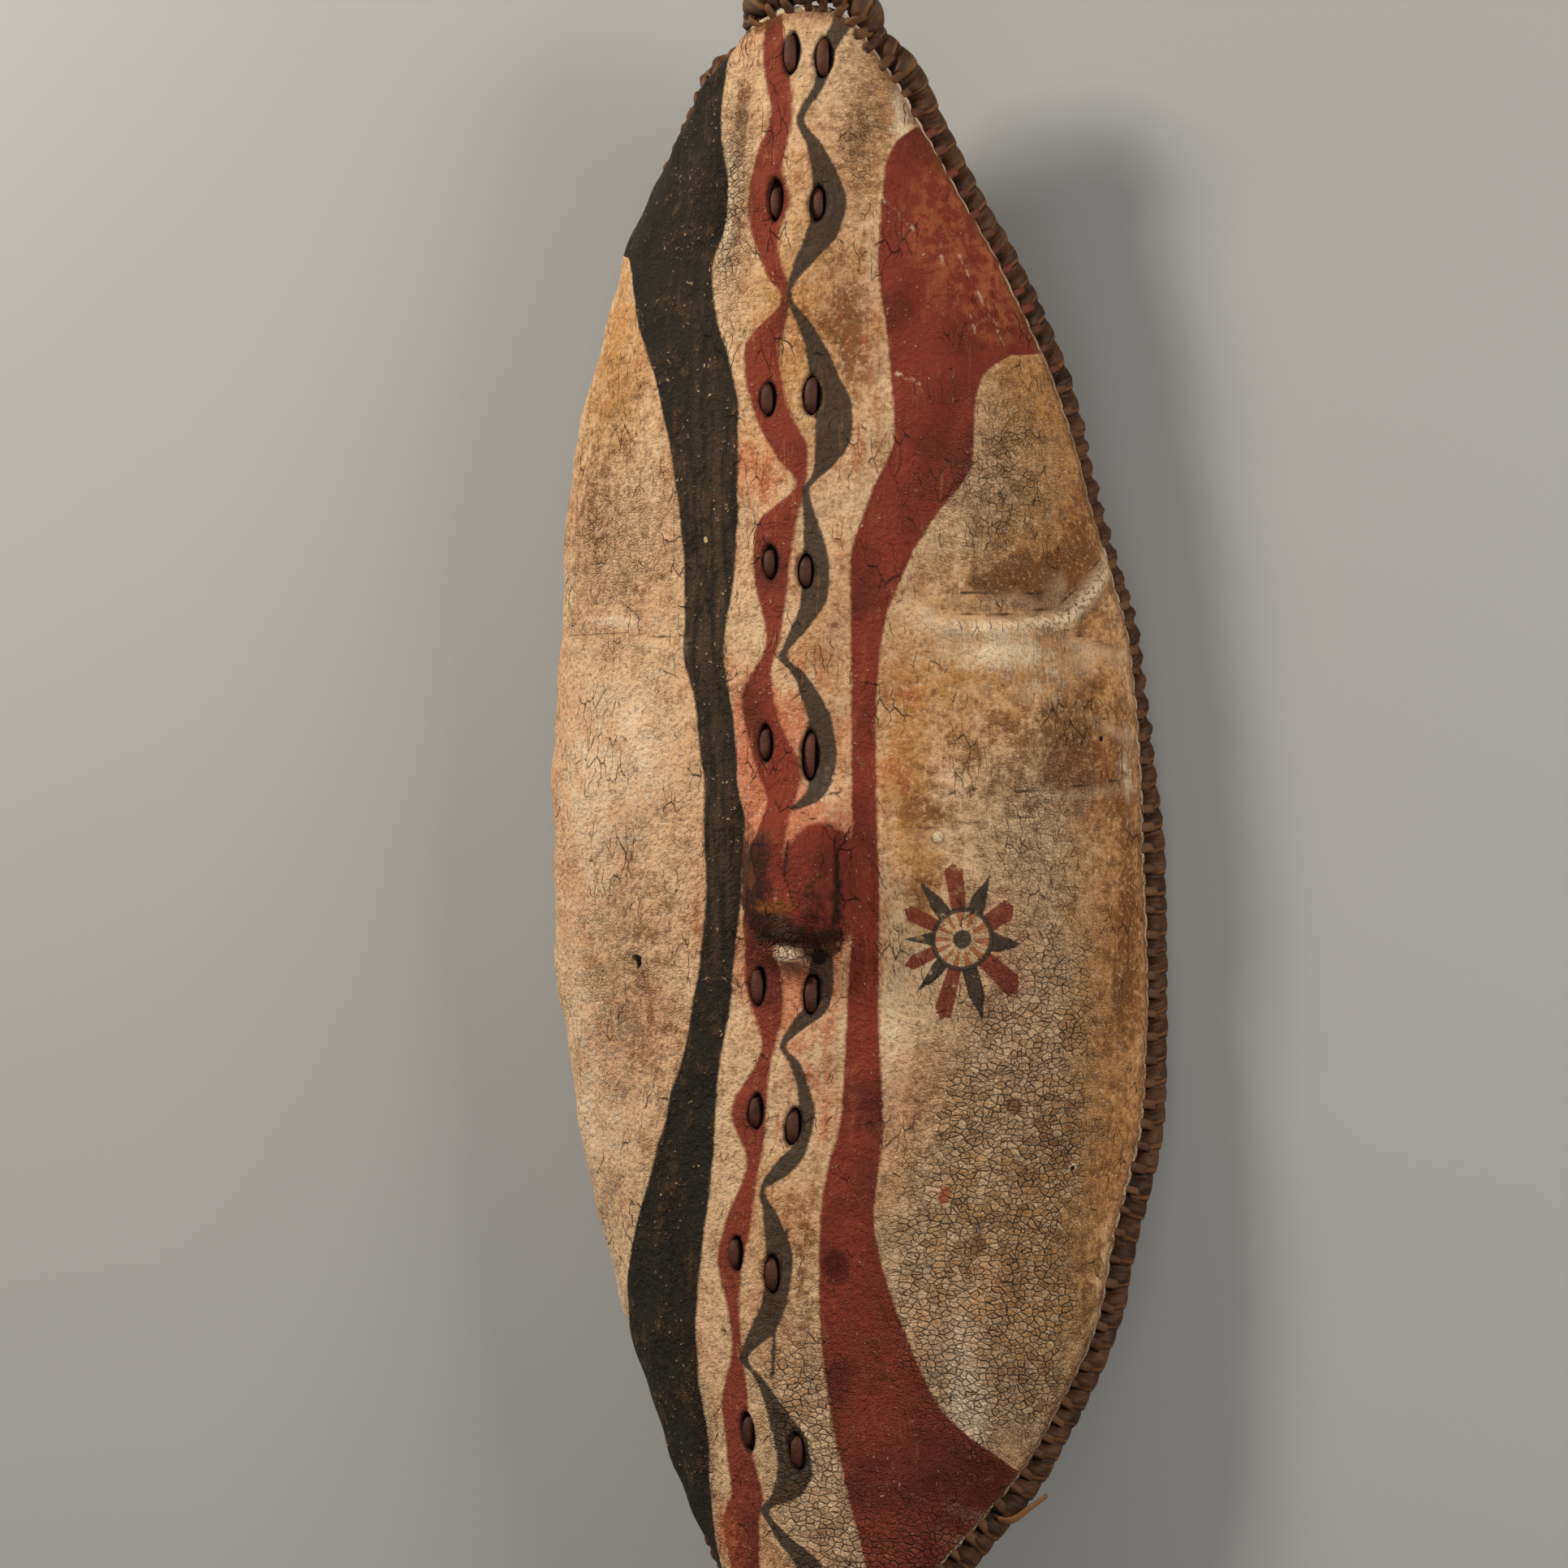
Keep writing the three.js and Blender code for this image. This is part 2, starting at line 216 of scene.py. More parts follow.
@dataclass(frozen=True)
class HideForm:
    """The bent sheet that everything else follows."""

    top: float = 568
    foot: float = -503
    thick: float = 5
    girth_left: Stations = (
        (-503, 42), (-445, 84), (-380, 131), (-270, 186), (-150, 237), (0, 265), (150, 257),
        (250, 245), (330, 225), (400, 190), (450, 158), (500, 116), (540, 80), (568, 48))
    girth_right: Stations = (
        (-503, 38), (-445, 101), (-380, 173), (-270, 243), (-150, 261), (0, 258), (150, 253),
        (250, 218), (330, 188), (400, 148), (450, 110), (500, 75), (540, 52), (568, 34))
    ridge_height: Stations = ((-503, 141), (-270, 153), (0, 158), (330, 155), (568, 143))
    ridge_drift: Stations = (
        (-503, 5), (-370, -13), (-250, -25), (-150, -9), (0, 0), (300, 0), (568, 10))
    twist: Stations = ((-503, 6), (-270, 7), (-150, 2), (0, -1.5), (568, -1.5))
    bend: Stations = ((-503, 0.45), (-420, 0.85), (-320, 1), (380, 1), (490, 0.85), (568, 0.45))
    shoulder: float = 12
    fall: float = 28
    tuck_left: float = 62
    tuck_right: float = 44
    tip_round: float = 18
    tip_reach: float = 70
    boss: tuple[float, float, float, float, float] = (8, -2, 46, 66, 23)  # x, y, halves, rise
    pinch: tuple[float, float, float] = (172, 80, 6.5)  # station, reach and depth, right side
    shoulder_bite: float = 20
    tuck_power: float = 5
    tip_power: float = 2.5
    steps: int = 160

    def __post_init__(self) -> None:
        """Works out the bent section of each side at every station, once."""
        rows = np.arange(self.foot, self.top + 1, 2.0)
        rows[-1] = self.top
        q = (np.arange(self.steps) + 0.5) / self.steps
        for side, key in ((-1, "_left"), (1, "_right")):
            tuck = self.tuck_left if side < 0 else self.tuck_right
            slope = (self.shoulder * np.tanh(self.shoulder_bite * q) + self.fall * q
                     + tuck * q ** self.tuck_power)
            lean = -side * through(self.twist, rows)[:, None]
            angle = np.radians(lean + through(self.bend, rows)[:, None] * slope)
            reach = self.girth(side * np.ones_like(rows), rows)[:, None] / self.steps
            start = np.zeros((len(rows), 1))
            table = np.stack([
                np.concatenate([start, np.cumsum(np.cos(angle) * reach, 1)], 1),
                np.concatenate([start, np.cumsum(np.sin(angle) * reach, 1)], 1)], -1)
            object.__setattr__(self, key, table)
        object.__setattr__(self, "_rows", rows)

    def girth(self, side: np.ndarray, station: np.ndarray) -> np.ndarray:
        """Half girth of the flat hide on the side that the sign of side gives."""
        left, right = through(self.girth_left, station), through(self.girth_right, station)
        return np.where(side < 0, left, right)

    def middle(self, part: np.ndarray, station: np.ndarray) -> np.ndarray:
        """Points in the middle of the hide's thickness.

        Args:
            part: share of the half girth, -1 at the left edge to 1 at the right edge.
            station: distance along the ridge from the boss.

        Returns:
            Array (..., 3).
        """
        part, station = np.broadcast_arrays(np.clip(part, -1, 1), station)
        row = np.interp(station, self._rows, np.arange(len(self._rows)))
        i = np.clip(row.astype(int), 0, len(self._rows) - 2)
        u = (row - i)[..., None]
        step = np.abs(part) * self.steps
        j = np.clip(step.astype(int), 0, self.steps - 1)
        v = (step - j)[..., None]
        run = np.zeros(part.shape + (2,))
        for side, table in ((-1, self._left), (1, self._right)):
            read = ((table[i, j] * (1 - u) + table[i + 1, j] * u) * (1 - v)
                    + (table[i, j + 1] * (1 - u) + table[i + 1, j + 1] * u) * v)
            run = np.where((part < 0)[..., None] == (side < 0), read, run)
        x = np.sign(part) * run[..., 0]
        bx, by, wide, long, height = self.boss
        inside = np.clip(1 - ((x - bx) / wide) ** 2 - ((station - by) / long) ** 2, 0, 1)
        rise = height * inside * inside * (3 - 2 * inside)
        centre, reach, depth = self.pinch
        x = x - (depth * np.exp(-((station - centre) / reach) ** 2)
                 * smoothstep(0.5, 1.0, part))
        near_top = smoothstep(self.top - self.tip_reach, self.top, station)
        near_foot = 1 - smoothstep(self.foot, self.foot + self.tip_reach, station)
        back = self.tip_round * (near_foot - near_top) * np.abs(part) ** self.tip_power
        return np.stack([
            x + through(self.ridge_drift, station), station + back,
            through(self.ridge_height, station) - run[..., 1] + rise], -1)

    def normal(self, part: np.ndarray, station: np.ndarray) -> np.ndarray:
        """Unit normals of the painted face.

        Args:
            part: share of the half girth, -1 to 1.
            station: distance along the ridge from the boss.

        Returns:
            Array (..., 3).
        """
        right = self.middle(np.minimum(part + 0.012, 1), station)
        left = self.middle(np.maximum(part - 0.012, -1), station)
        above = self.middle(part, np.minimum(station + 2, self.top))
        below = self.middle(part, np.maximum(station - 2, self.foot))
        return unit(np.cross(right - left, above - below))

    def face(self, station: float, across: float) -> np.ndarray:
        """One point of the plain painted face.

        Args:
            station: distance along the ridge from the boss.
            across: distance from the ridge round the curve.

        Returns:
            The point.
        """
        part = across / float(self.girth(np.array(across), np.array(station)))
        here, at = np.array([part]), np.array([float(station)])
        return (self.middle(here, at) + self.normal(here, at) * self.thick / 2)[0]


@dataclass(frozen=True)
class Slot:
    """One lacing slot: its place and its size."""

    station: float
    across: float
    long: float = 25
    wide: float = 11


@dataclass(frozen=True)
class Lacing:
    """The pairs of slots along the ridge: (left station, right station, half spacing)."""

    pairs: tuple[tuple[float, float, float], ...] = (
        (537, 534, 10.8), (441, 438, 13.5), (312, 314, 14.5), (206, 200, 11.5), (89, 81, 14.5),
        (-69, -73, 18), (-150, -159, 13), (-243, -255, 13), (-359, -370, 16.5), (-464, -471, 12))
    long_left: tuple[float, ...] = (28, 28, 23, 23, 25, 26, 24, 23, 26, 25)
    long_right: tuple[float, ...] = (27, 24, 26, 23, 33, 28, 25, 26, 25, 25)

    def slots(self) -> list[tuple[Slot, Slot]]:
        """Left and right slot of every pair."""
        return [(Slot(left, -half, long_l), Slot(right, half, long_r))
                for (left, right, half), long_l, long_r
                in zip(self.pairs, self.long_left, self.long_right)]


# ------------------------------------------------------------------ painted picture

OVER = 400.0  # an edge this far out runs past the edge of the hide


@dataclass(frozen=True)
class Band:
    """A band of paint between two edges, each a row of (station, across)."""

    left: tuple[Place, ...]
    right: tuple[Place, ...]

    def inside(self, station: np.ndarray, across: np.ndarray) -> np.ndarray:
        """Distance inside the band, negative outside it.

        Args:
            station: stations of the points.
            across: distances of the points from the ridge.

        Returns:
            The distance for each point.
        """
        ends = min(self.left[0][0], self.right[0][0]), max(self.left[-1][0], self.right[-1][0])
        left, right = through(self.left, station), through(self.right, station)
        depth = np.minimum(across - left, right - across)
        return np.minimum(depth, np.minimum(station - ends[0], ends[1] - station))


BLACK_BAND = Band(
    left=((-520, -OVER), (-340, -OVER), (-316, -145), (-285, -126), (-214, -102), (-150, -86),
          (-101, -71), (-58, -64), (-7, -62), (53, -62), (113, -69), (149, -80), (206, -80),
          (267, -88), (327, -105), (372, -128), (412, -148), (436, -OVER), (580, -OVER)),
    right=((-520, -60), (-433, -61), (-373, -54), (-304, -51), (-219, -40), (-142, -43),
           (-83, -39), (-40, -36), (0, -32), (40, -30), (60, -34),
           (96, -38), (151, -47), (204, -39),
           (265, -35), (307, -36), (367, -55), (398, -61), (438, -51), (509, -61), (580, -55)))

RED_BAND = Band(
    left=((-520, 50), (-445, 50), (-392, 45), (-333, 41), (-243, 44), (-191, 40), (-149, 43),
          (-53, 41), (94, 41), (204, 40), (250, 53), (289, 68), (344, 64), (406, 54), (436, 54),
          (462, 55), (480, 62), (490, 76)),
    right=((-520, OVER), (-396, OVER), (-386, 167), (-374, 147), (-358, 127), (-341, 113),
           (-299, 99), (-245, 84), (-215, 76), (-149, 70), (-82, 62), (-6, 59), (94, 57),
           (153, 60), (207, 78), (240, 98), (257, 112), (272, 119), (298, 120), (323, 125),
           (343, 150), (352, OVER), (490, OVER)))

RED_STRAND = Band(
    left=((-520, -40), (-450, -47), (-422, -49), (-395, -36), (-345, -37), (-304, -22),
          (-285, -21), (-250, -29), (-187, -15), (-150, -31), (-107, -13), (-68, -28), (-34, -31),
          (0, -24), (45, -11), (71, -20), (118, -33), (155, -15), (208, -25), (228, -22),
          (257, 5), (276, -9), (308, -26), (345, -33), (378, -7), (392, -17), (440, -34),
          (470, -30), (496, -21), (530, -30), (580, -32)),
    right=((-520, -20), (-450, -23), (-422, -18), (-402, -12), (-365, -14), (-330, -13),
           (-304, -13), (-275, -12), (-224, -3), (-187, -5), (-145, -5), (-107, -3), (-87, 0),
           (-34, -4), (0, 4), (45, 8), (71, 9), (102, -4), (134, -11), (155, -5), (228, 5),
           (257, 12), (276, 13), (308, -1), (340, -7), (378, -1), (414, -10), (440, -3),
           (462, -9), (496, -6), (530, -12), (580, -22)))

BLACK_STRANDS = (
    Band(left=((42, 4), (47, 9), (58, 13), (102, 13), (118, 9), (134, 3), (144, -6), (152, -3),
               (181, 8), (215, 10), (233, 10), (252, 9), (262, 15), (275, 17), (307, 17),
               (323, 13), (344, 10), (360, 4), (379, -3), (402, 2), (418, 7), (439, 11),
               (454, 9), (476, 4), (493, -3), (518, 6), (540, 8), (558, 15), (580, 18)),
         right=((42, 7), (47, 19), (58, 26), (80, 32), (102, 29), (118, 22), (134, 11),
                (145, 0), (165, 15), (185, 26), (202, 27), (218, 24), (233, 19), (252, 14),
                (268, 29), (280, 38), (291, 41), (307, 41), (323, 34), (344, 24), (360, 14),
                (379, 0), (402, 15), (418, 28), (439, 32), (454, 27), (476, 14), (493, 2),
                (518, 14), (540, 19), (558, 26), (580, 26))),
    Band(left=((-520, 14), (-446, 6), (-424, -6), (-410, -15), (-398, -4), (-374, 3), (-345, 0),
               (-324, -5), (-312, -16), (-292, -5), (-271, 6), (-250, 10), (-218, 5), (-200, -1),
               (-186, 4), (-165, 17), (-134, 13), (-118, 7), (-107, 0), (-96, 4), (-76, 15),
               (-60, 15), (-42, 21)),
         right=((-520, 32), (-446, 23), (-424, 3), (-410, -8), (-398, 16), (-382, 25),
                (-366, 25), (-345, 14), (-324, 1), (-312, -9), (-292, 13), (-271, 23),
                (-245, 27), (-218, 15), (-200, 3), (-190, 16), (-176, 24), (-150, 26),
                (-134, 21), (-118, 14), (-107, 4), (-97, 13), (-85, 28), (-70, 32), (-50, 31),
                (-42, 27))))

# Pale scratches, and a thin run of black paint, as rows of (station, across).
SCRATCHES = (
    ((406, 106), (392, 114), (372, 130), (349, 143)), ((443, 53), (432, 64), (421, 77)),
    ((372, 118), (352, 122)), ((420, 92), (398, 96)), ((330, 66), (322, 84)),
    ((-252, 60), (-262, 61)), ((-60, -150), (-86, -158)), ((-6, -150), (-30, -146)),
    ((120, -150), (84, -158)), ((-216, -150), (-232, -140)))
DRIP = ((-226, 22), (-262, 15), (-300, 11), (-322, 7))


@dataclass(frozen=True)
class Patch:
    """A soft patch of wear, dirt or crackle on the painted face; some soot patches are painted shade.
    """

    station: float
    across: float
    half_long: float
    half_wide: float
    strength: float = 1.0

    def weight(self, station: np.ndarray, across: np.ndarray) -> np.ndarray:
        """Strength of the patch at each place.

        Args:
            station: stations of the points.
            across: distances of the points from the ridge.

        Returns:
            The strength for each point.
        """
        along = (station - self.station) / self.half_long
        beside = (across - self.across) / self.half_wide
        return self.strength * np.exp(-along * along - beside * beside)


class Wear(Enum):
    """What a patch does to the face; the value is the attribute that carries it."""

    STAIN = "stain"
    PALE = "pale"
    ROUGE = "rouge"
    SOOT = "soot"
    CRACKLE = "crackle"
    OCHRE = "ochre"
    EMBER = "ember"
    DUST = "dust"
    WORN_RED = "worn_red"


PATCHES: dict[Wear, tuple[Patch, ...]] = {
    Wear.STAIN: (
        Patch(192, 158, 15, 46, 1.4), Patch(205, 205, 34, 24, 0.9), Patch(100, 190, 75, 50, 0.7),
        Patch(60, 120, 60, 30, 0.45), Patch(20, 236, 120, 10, 0.7), Patch(-272, 222, 60, 24, 0.6),
        Patch(-175, 160, 70, 60, 0.55), Patch(-60, 225, 60, 18, 0.6),
        Patch(-30, -120, 130, 40, 0.35),
        Patch(287, -150, 70, 40, 0.6), Patch(480, 40, 45, 14, 0.4), Patch(372, 36, 30, 12, 0.4),
        Patch(420, -45, 40, 10, 0.5), Patch(490, -45, 40, 10, 0.7), Patch(-250, 35, 50, 8, 0.7),
        Patch(45, 84, 18, 16, 0.8), Patch(-10, 87, 18, 13, 1.0),
        Patch(335, 40, 24, 12, 0.7), Patch(240, 150, 45, 30, 0.3),
        Patch(-330, 175, 30, 26, 0.6), Patch(-420, 120, 60, 60, 0.3), Patch(150, -62, 60, 14, 0.5),
        Patch(-240, -150, 80, 40, 0.5)),
    Wear.PALE: (
        Patch(148, 140, 13, 44, 0.85), Patch(124, 170, 12, 20, 0.5),
        Patch(-150, -170, 120, 60, 0.5), Patch(60, -170, 90, 60, 0.45),
        Patch(-300, -170, 60, 40, 0.6), Patch(510, 66, 40, 9, 1.2),
        Patch(430, -52, 46, 8, 0.9), Patch(-60, 90, 60, 30, 0.35), Patch(170, -150, 6, 60, 0.5),
        Patch(100, -110, 60, 40, 0.4), Patch(-45, 4, 6, 13, 0.8), Patch(-345, 130, 26, 14, 0.9),
        Patch(378, 125, 46, 8, 0.7), Patch(-290, 130, 50, 30, 0.5), Patch(80, 236, 60, 8, 0.5),
        Patch(-120, 70, 60, 10, 0.4), Patch(62, 22, 16, 12, 0.7)),
    Wear.ROUGE: (
        Patch(0, 5, 80, 45, 1.0), Patch(120, 10, 120, 40, 0.45), Patch(330, -40, 60, 16, 0.5),
        Patch(-120, 14, 90, 34, 0.5), Patch(100, 72, 60, 14, 0.35), Patch(300, 50, 60, 14, 0.4),
        Patch(80, -20, 40, 24, 0.8), Patch(-55, 60, 90, 10, 0.3), Patch(-430, -46, 24, 14, 1.3),
        Patch(250, -15, 30, 20, 0.6), Patch(-199, 113, 9, 6, 0.9), Patch(500, 0, 50, 20, 0.3)),
    # Soot and black smears. The thin patches along the knuckle's right crease, the band along its
    # lower end and the two along the deep crease near station 180 are painted shade.
    Wear.SOOT: (
        Patch(172, 200, 9, 13, 0.75), Patch(-45, 22, 5, 6, 1.4), Patch(-31, -7, 11, 14, 1.2),
        Patch(12, -24, 24, 14, 1.25), Patch(-14, -16, 18, 20, 1.15), Patch(-35, 6, 7, 22, 1.1),
        Patch(-38, 29, 8, 6, 1.1), Patch(-12, 22, 28, 13, 0.72), Patch(18, -4, 16, 9, 0.8),
        Patch(-8, 37, 30, 2.0, 0.8), Patch(-247, 53, 14, 11, 0.8), Patch(-317, 78, 24, 17, 0.55),
        Patch(-146, 148, 7, 6, 0.7), Patch(-229, 140, 9, 7, 0.6), Patch(214, 150, 16, 50, 0.25),
        Patch(60, 116, 9, 12, 0.6), Patch(-400, 150, 16, 16, 0.6), Patch(185, 165, 6, 40, 0.7),
        Patch(0, 34, 34, 3, 1.0), Patch(-20, 236, 40, 8, 0.4)),
    Wear.CRACKLE: (
        Patch(-290, 150, 80, 60, 1.4), Patch(-170, 150, 90, 60, 1.0), Patch(260, 140, 70, 60, 0.7),
        Patch(230, -150, 60, 60, 0.5), Patch(440, -48, 60, 14, 1.0), Patch(-370, 24, 90, 26, 1.1),
        Patch(-445, 90, 50, 60, 1.0), Patch(-60, 170, 90, 50, 0.5), Patch(60, 170, 60, 60, 0.4),
        Patch(-40, 5, 14, 26, 1.0), Patch(490, 40, 60, 20, 0.6), Patch(-60, -130, 90, 60, 0.3),
        Patch(-360, -58, 90, 10, 0.7)),
    Wear.OCHRE: (
        Patch(140, 130, 70, 70, 0.8), Patch(240, 180, 90, 45, 1.1), Patch(330, 160, 40, 30, 1.0),
        Patch(20, 225, 150, 38, 1.0), Patch(-160, 222, 90, 34, 0.9), Patch(-260, 200, 70, 30, 0.7),
        Patch(480, 46, 60, 20, 0.8), Patch(400, 0, 70, 30, 0.5), Patch(320, 8, 60, 50, 0.7),
        Patch(350, -150, 60, 40, 0.9), Patch(150, 20, 60, 26, 0.4), Patch(-210, 12, 50, 28, 0.6),
        Patch(250, -170, 60, 60, 0.4), Patch(60, 75, 60, 14, 1.0), Patch(-300, 20, 70, 20, 0.3),
        Patch(-200, 120, 90, 30, 0.45), Patch(-200, 180, 90, 50, 0.65),
        Patch(-290, 165, 60, 45, 0.6), Patch(-30, -150, 90, 60, 0.2), Patch(10, 90, 40, 12, 0.9)),
    Wear.EMBER: (
        Patch(26, -1, 9, 7, 0.85), Patch(2, -21, 15, 10, 0.8), Patch(-15, -3, 7, 12, 0.75),
        Patch(-243, 21, 8, 5, 0.6), Patch(-16, 4, 4, 18, 0.9)),
    Wear.DUST: (
        Patch(200, -60, 150, 30, 1.0), Patch(0, -50, 60, 14, 1.2), Patch(410, -100, 60, 50, 0.3)),
    Wear.WORN_RED: (
        Patch(430, 100, 60, 40, 1.0), Patch(380, 140, 40, 30, 1.1), Patch(120, 46, 60, 8, 0.5),
        Patch(-120, 50, 80, 8, 0.6), Patch(-430, -40, 26, 16, 0.9)),
}


@dataclass(frozen=True)
class Fold:
    """A crease or a ridge drawn along a line on the face; a crease has a lip beside it."""

    line: tuple[Place, ...]
    depth: float
    wide: float
    lip: float = 0.0
    # worn scales the painted highlight that the lip gets.
    worn: float = 1.0

    def lift(self, places: np.ndarray) -> tuple[np.ndarray, np.ndarray, np.ndarray]:
        """Reads the fold at each (station, across) place.

        Args:
            places: array (..., 2).

        Returns:
            The height that it adds, the distance to its line, and how strong the painted highlight on
            its lip is.
        """
        far, side = line_distance(places, np.array(self.line, float))
        ends = np.minimum(np.linalg.norm(places - self.line[0], axis=-1),
                          np.linalg.norm(places - self.line[-1], axis=-1))
        fade = 0.35 + 0.65 * smoothstep(0, 18, ends)
        near = far * side - 1.8 * self.wide
        lip = np.exp(-(near / (1.3 * self.wide)) ** 2) * fade
        return (self.lip * lip - self.depth * fade * np.exp(-(far / self.wide) ** 2), far,
                self.worn * self.lip / 3 * lip)


FOLDS = (
    Fold(((176, 98), (171, 126), (174, 153), (178, 184), (192, 201), (212, 224)), 4.2, 5, 3.6),
    Fold(((186, 112), (188, 150), (184, 176)), 1.8, 4, 1.2),
    Fold(((164, 180), (158, 205), (153, 230)), 2.8, 4, 2.0),
    Fold(((180, 196), (168, 203), (156, 204)), 5.0, 8, 1.2),
    Fold(((113, 202), (105, 215), (98, 240)), 1.5, 3, 1.2),
    Fold(((57, 143), (60, 181), (67, 245)), 1.0, 3.2, 1.0),
    Fold(((32, 74), (37, 115), (42, 164)), 0.7, 3.2, 0.6),
    Fold(((86, 140), (65, 135), (43, 132)), 0.9, 1.8, 0.3),
    Fold(((162, -205), (162, -131), (158, -84)), 1.0, 3.5, 0.8),
    Fold(((-360, 120), (-371, 140), (-386, 160)), -2.2, 4.5, 0.0),
    Fold(((-404, 118), (-412, 140), (-398, 160)), 1.2, 3, 0.9),
    Fold(((-420, 108), (-428, 126), (-424, 140)), 1.0, 3, 0.8),
    Fold(((34, 31), (10, 37), (-12, 37), (-36, 31)), 5.2, 3.4, 2.0, 0.0),
    Fold(((34, -32), (20, -16), (-2, -2), (-24, 12)), -3.4, 5.0, 0.0, 0.0),
    Fold(((-34, -20), (-41, 0), (-42, 18), (-36, 31)), 5.0, 3.4, 2.2, 0.0),
    Fold(((24, 8), (4, 6), (-14, 12)), 2.6, 3.6, 0.8, 0.0),
    Fold(((46, 6), (38, 18), (34, 30)), 2.2, 4.0, 1.4, 0.0),
    Fold(((-42, 21), (-48, 24)), 4.0, 5.0, 0.8, 0.0),
)


@dataclass(frozen=True)
class Spot:
    """A small hole, plug or drop on the face."""

    station: float
    across: float
    half_long: float
    half_wide: float
    colour: Hex
    cover: float = 1.0


# The near-black spots are small holes, painted dark as the shade inside them.
SPOTS = (
    Spot(-55, -119, 4.4, 1.8, "#0d0907"), Spot(-52, -119.5, 2.2, 3.2, "#1c120c", 0.9),
    Spot(28, 97, 4.6, 4.4, "#6e5136", 0.8), Spot(28.4, 97, 3.8, 3.7, "#d9c3a0"),
    Spot(92, 211, 2.0, 1.8, "#241711"), Spot(-186, 200, 2.6, 2.6, "#d8c4a4"),
    Spot(-187, 200, 1.5, 1.6, "#22140d"), Spot(-204, 119, 5.5, 3.8, "#a44a36", 0.8),
    Spot(-250, 55, 11, 9, "#4a140c", 0.75), Spot(-146, 154, 6, 5, "#6b4526", 0.8),
    Spot(-236, 146, 7, 5, "#6b4526", 0.7), Spot(-48, 23, 4, 4, "#0d0806"),
    Spot(165, 30, 2.0, 2.4, "#6a2a1c", 0.6), Spot(222, -62, 2, 1.6, "#d2b68c", 0.9))

# The knuckle's strength is its height in millimetres.
KNUCKLE = Patch(-5, 20, 32, 13, 8.5)
PUNCTURE = Patch(-55, -119, 4.2, 1.8)
PLUG = Patch(28, 97, 4, 4)
BADGE: Place = (-38.0, 114.0)  # middle of the rayed flower


# ------------------------------------------------------------------ finishes

OCTAVE = 0.55  # strength of each finer octave of a cloudy pattern


def linear(code: Hex) -> tuple[float, float, float, float]:
    """Linear RGBA of an sRGB hex colour.

    Args:
        code: the colour as "#rrggbb".

    Returns:
        Red, green, blue and an alpha of 1.
    """
    parts = [int(code[i:i + 2], 16) / 255 for i in (1, 3, 5)]
    return tuple(c / 12.92 if c <= 0.04045 else ((c + 0.055) / 1.055) ** 2.4
                 for c in parts) + (1.0,)


class Step(Enum):
    """The steps that finishes are made of.

    Each is a node's type without its "ShaderNode" beginning, the inputs that its values go
    to, the output that is read, and its settings.
    """

    OWN_PLACE = ("TexCoord", (), "Object", {})
    VALUE = ("Attribute", (), "Fac", {})
    PLACE = ("Attribute", (), "Vector", {})
    SCALED = ("VectorMath", (0, 1), 0, {"operation": "MULTIPLY"})
    PUSHED = ("VectorMath", (0, 1, 2), 0, {"operation": "MULTIPLY_ADD"})
    AWAY_FROM = ("VectorMath", (0, 1), 0, {"operation": "SUBTRACT"})
    LENGTH = ("VectorMath", (0,), 1, {"operation": "LENGTH"})
    ACROSS = ("SeparateXYZ", (0,), 0, {})
    ALONG = ("SeparateXYZ", (0,), 1, {})
    CLOUDS = ("TexNoise", ("Vector", "Scale", "Detail", "Roughness"), 0, {})
    WARP = ("TexNoise", ("Vector", "Scale", "Detail"), 1, {})
    PLATE_EDGE = ("TexVoronoi", ("Vector", "Scale"), 0,
                  {"feature": "DISTANCE_TO_EDGE", "voronoi_dimensions": "2D"})
    PLATE_COLOUR = ("TexVoronoi", ("Vector", "Scale"), 1, {"voronoi_dimensions": "2D"})
    RED_PART = ("SeparateColor", (0,), 0, {})
    EASE = ("MapRange", (0, 1, 2), 0, {"interpolation_type": "SMOOTHSTEP"})
    MIX = ("Mix", (0, 6, 7), 2, {"data_type": "RGBA"})
    MULTIPLY = ("Math", (0, 1), 0, {"operation": "MULTIPLY"})
    MULTIPLY_ADD = ("Math", (0, 1, 2), 0, {"operation": "MULTIPLY_ADD"})
    MINIMUM = ("Math", (0, 1), 0, {"operation": "MINIMUM"})
    MODULO = ("Math", (0, 1), 0, {"operation": "MODULO"})
    ARCTAN2 = ("Math", (0, 1), 0, {"operation": "ARCTAN2"})
    COSINE = ("Math", (0,), 0, {"operation": "COSINE"})
    FRACT = ("Math", (0,), 0, {"operation": "FRACT"})
    ABSOLUTE = ("Math", (0,), 0, {"operation": "ABSOLUTE"})
    BUMP = ("Bump", ("Height", "Strength", "Distance"), 0, {})
    SURFACE = ("BsdfPrincipled", ("Base Color", "Roughness", "Normal", "Specular IOR Level"),
               0, {})
    OUTPUT = ("OutputMaterial", ("Surface",), None, {})


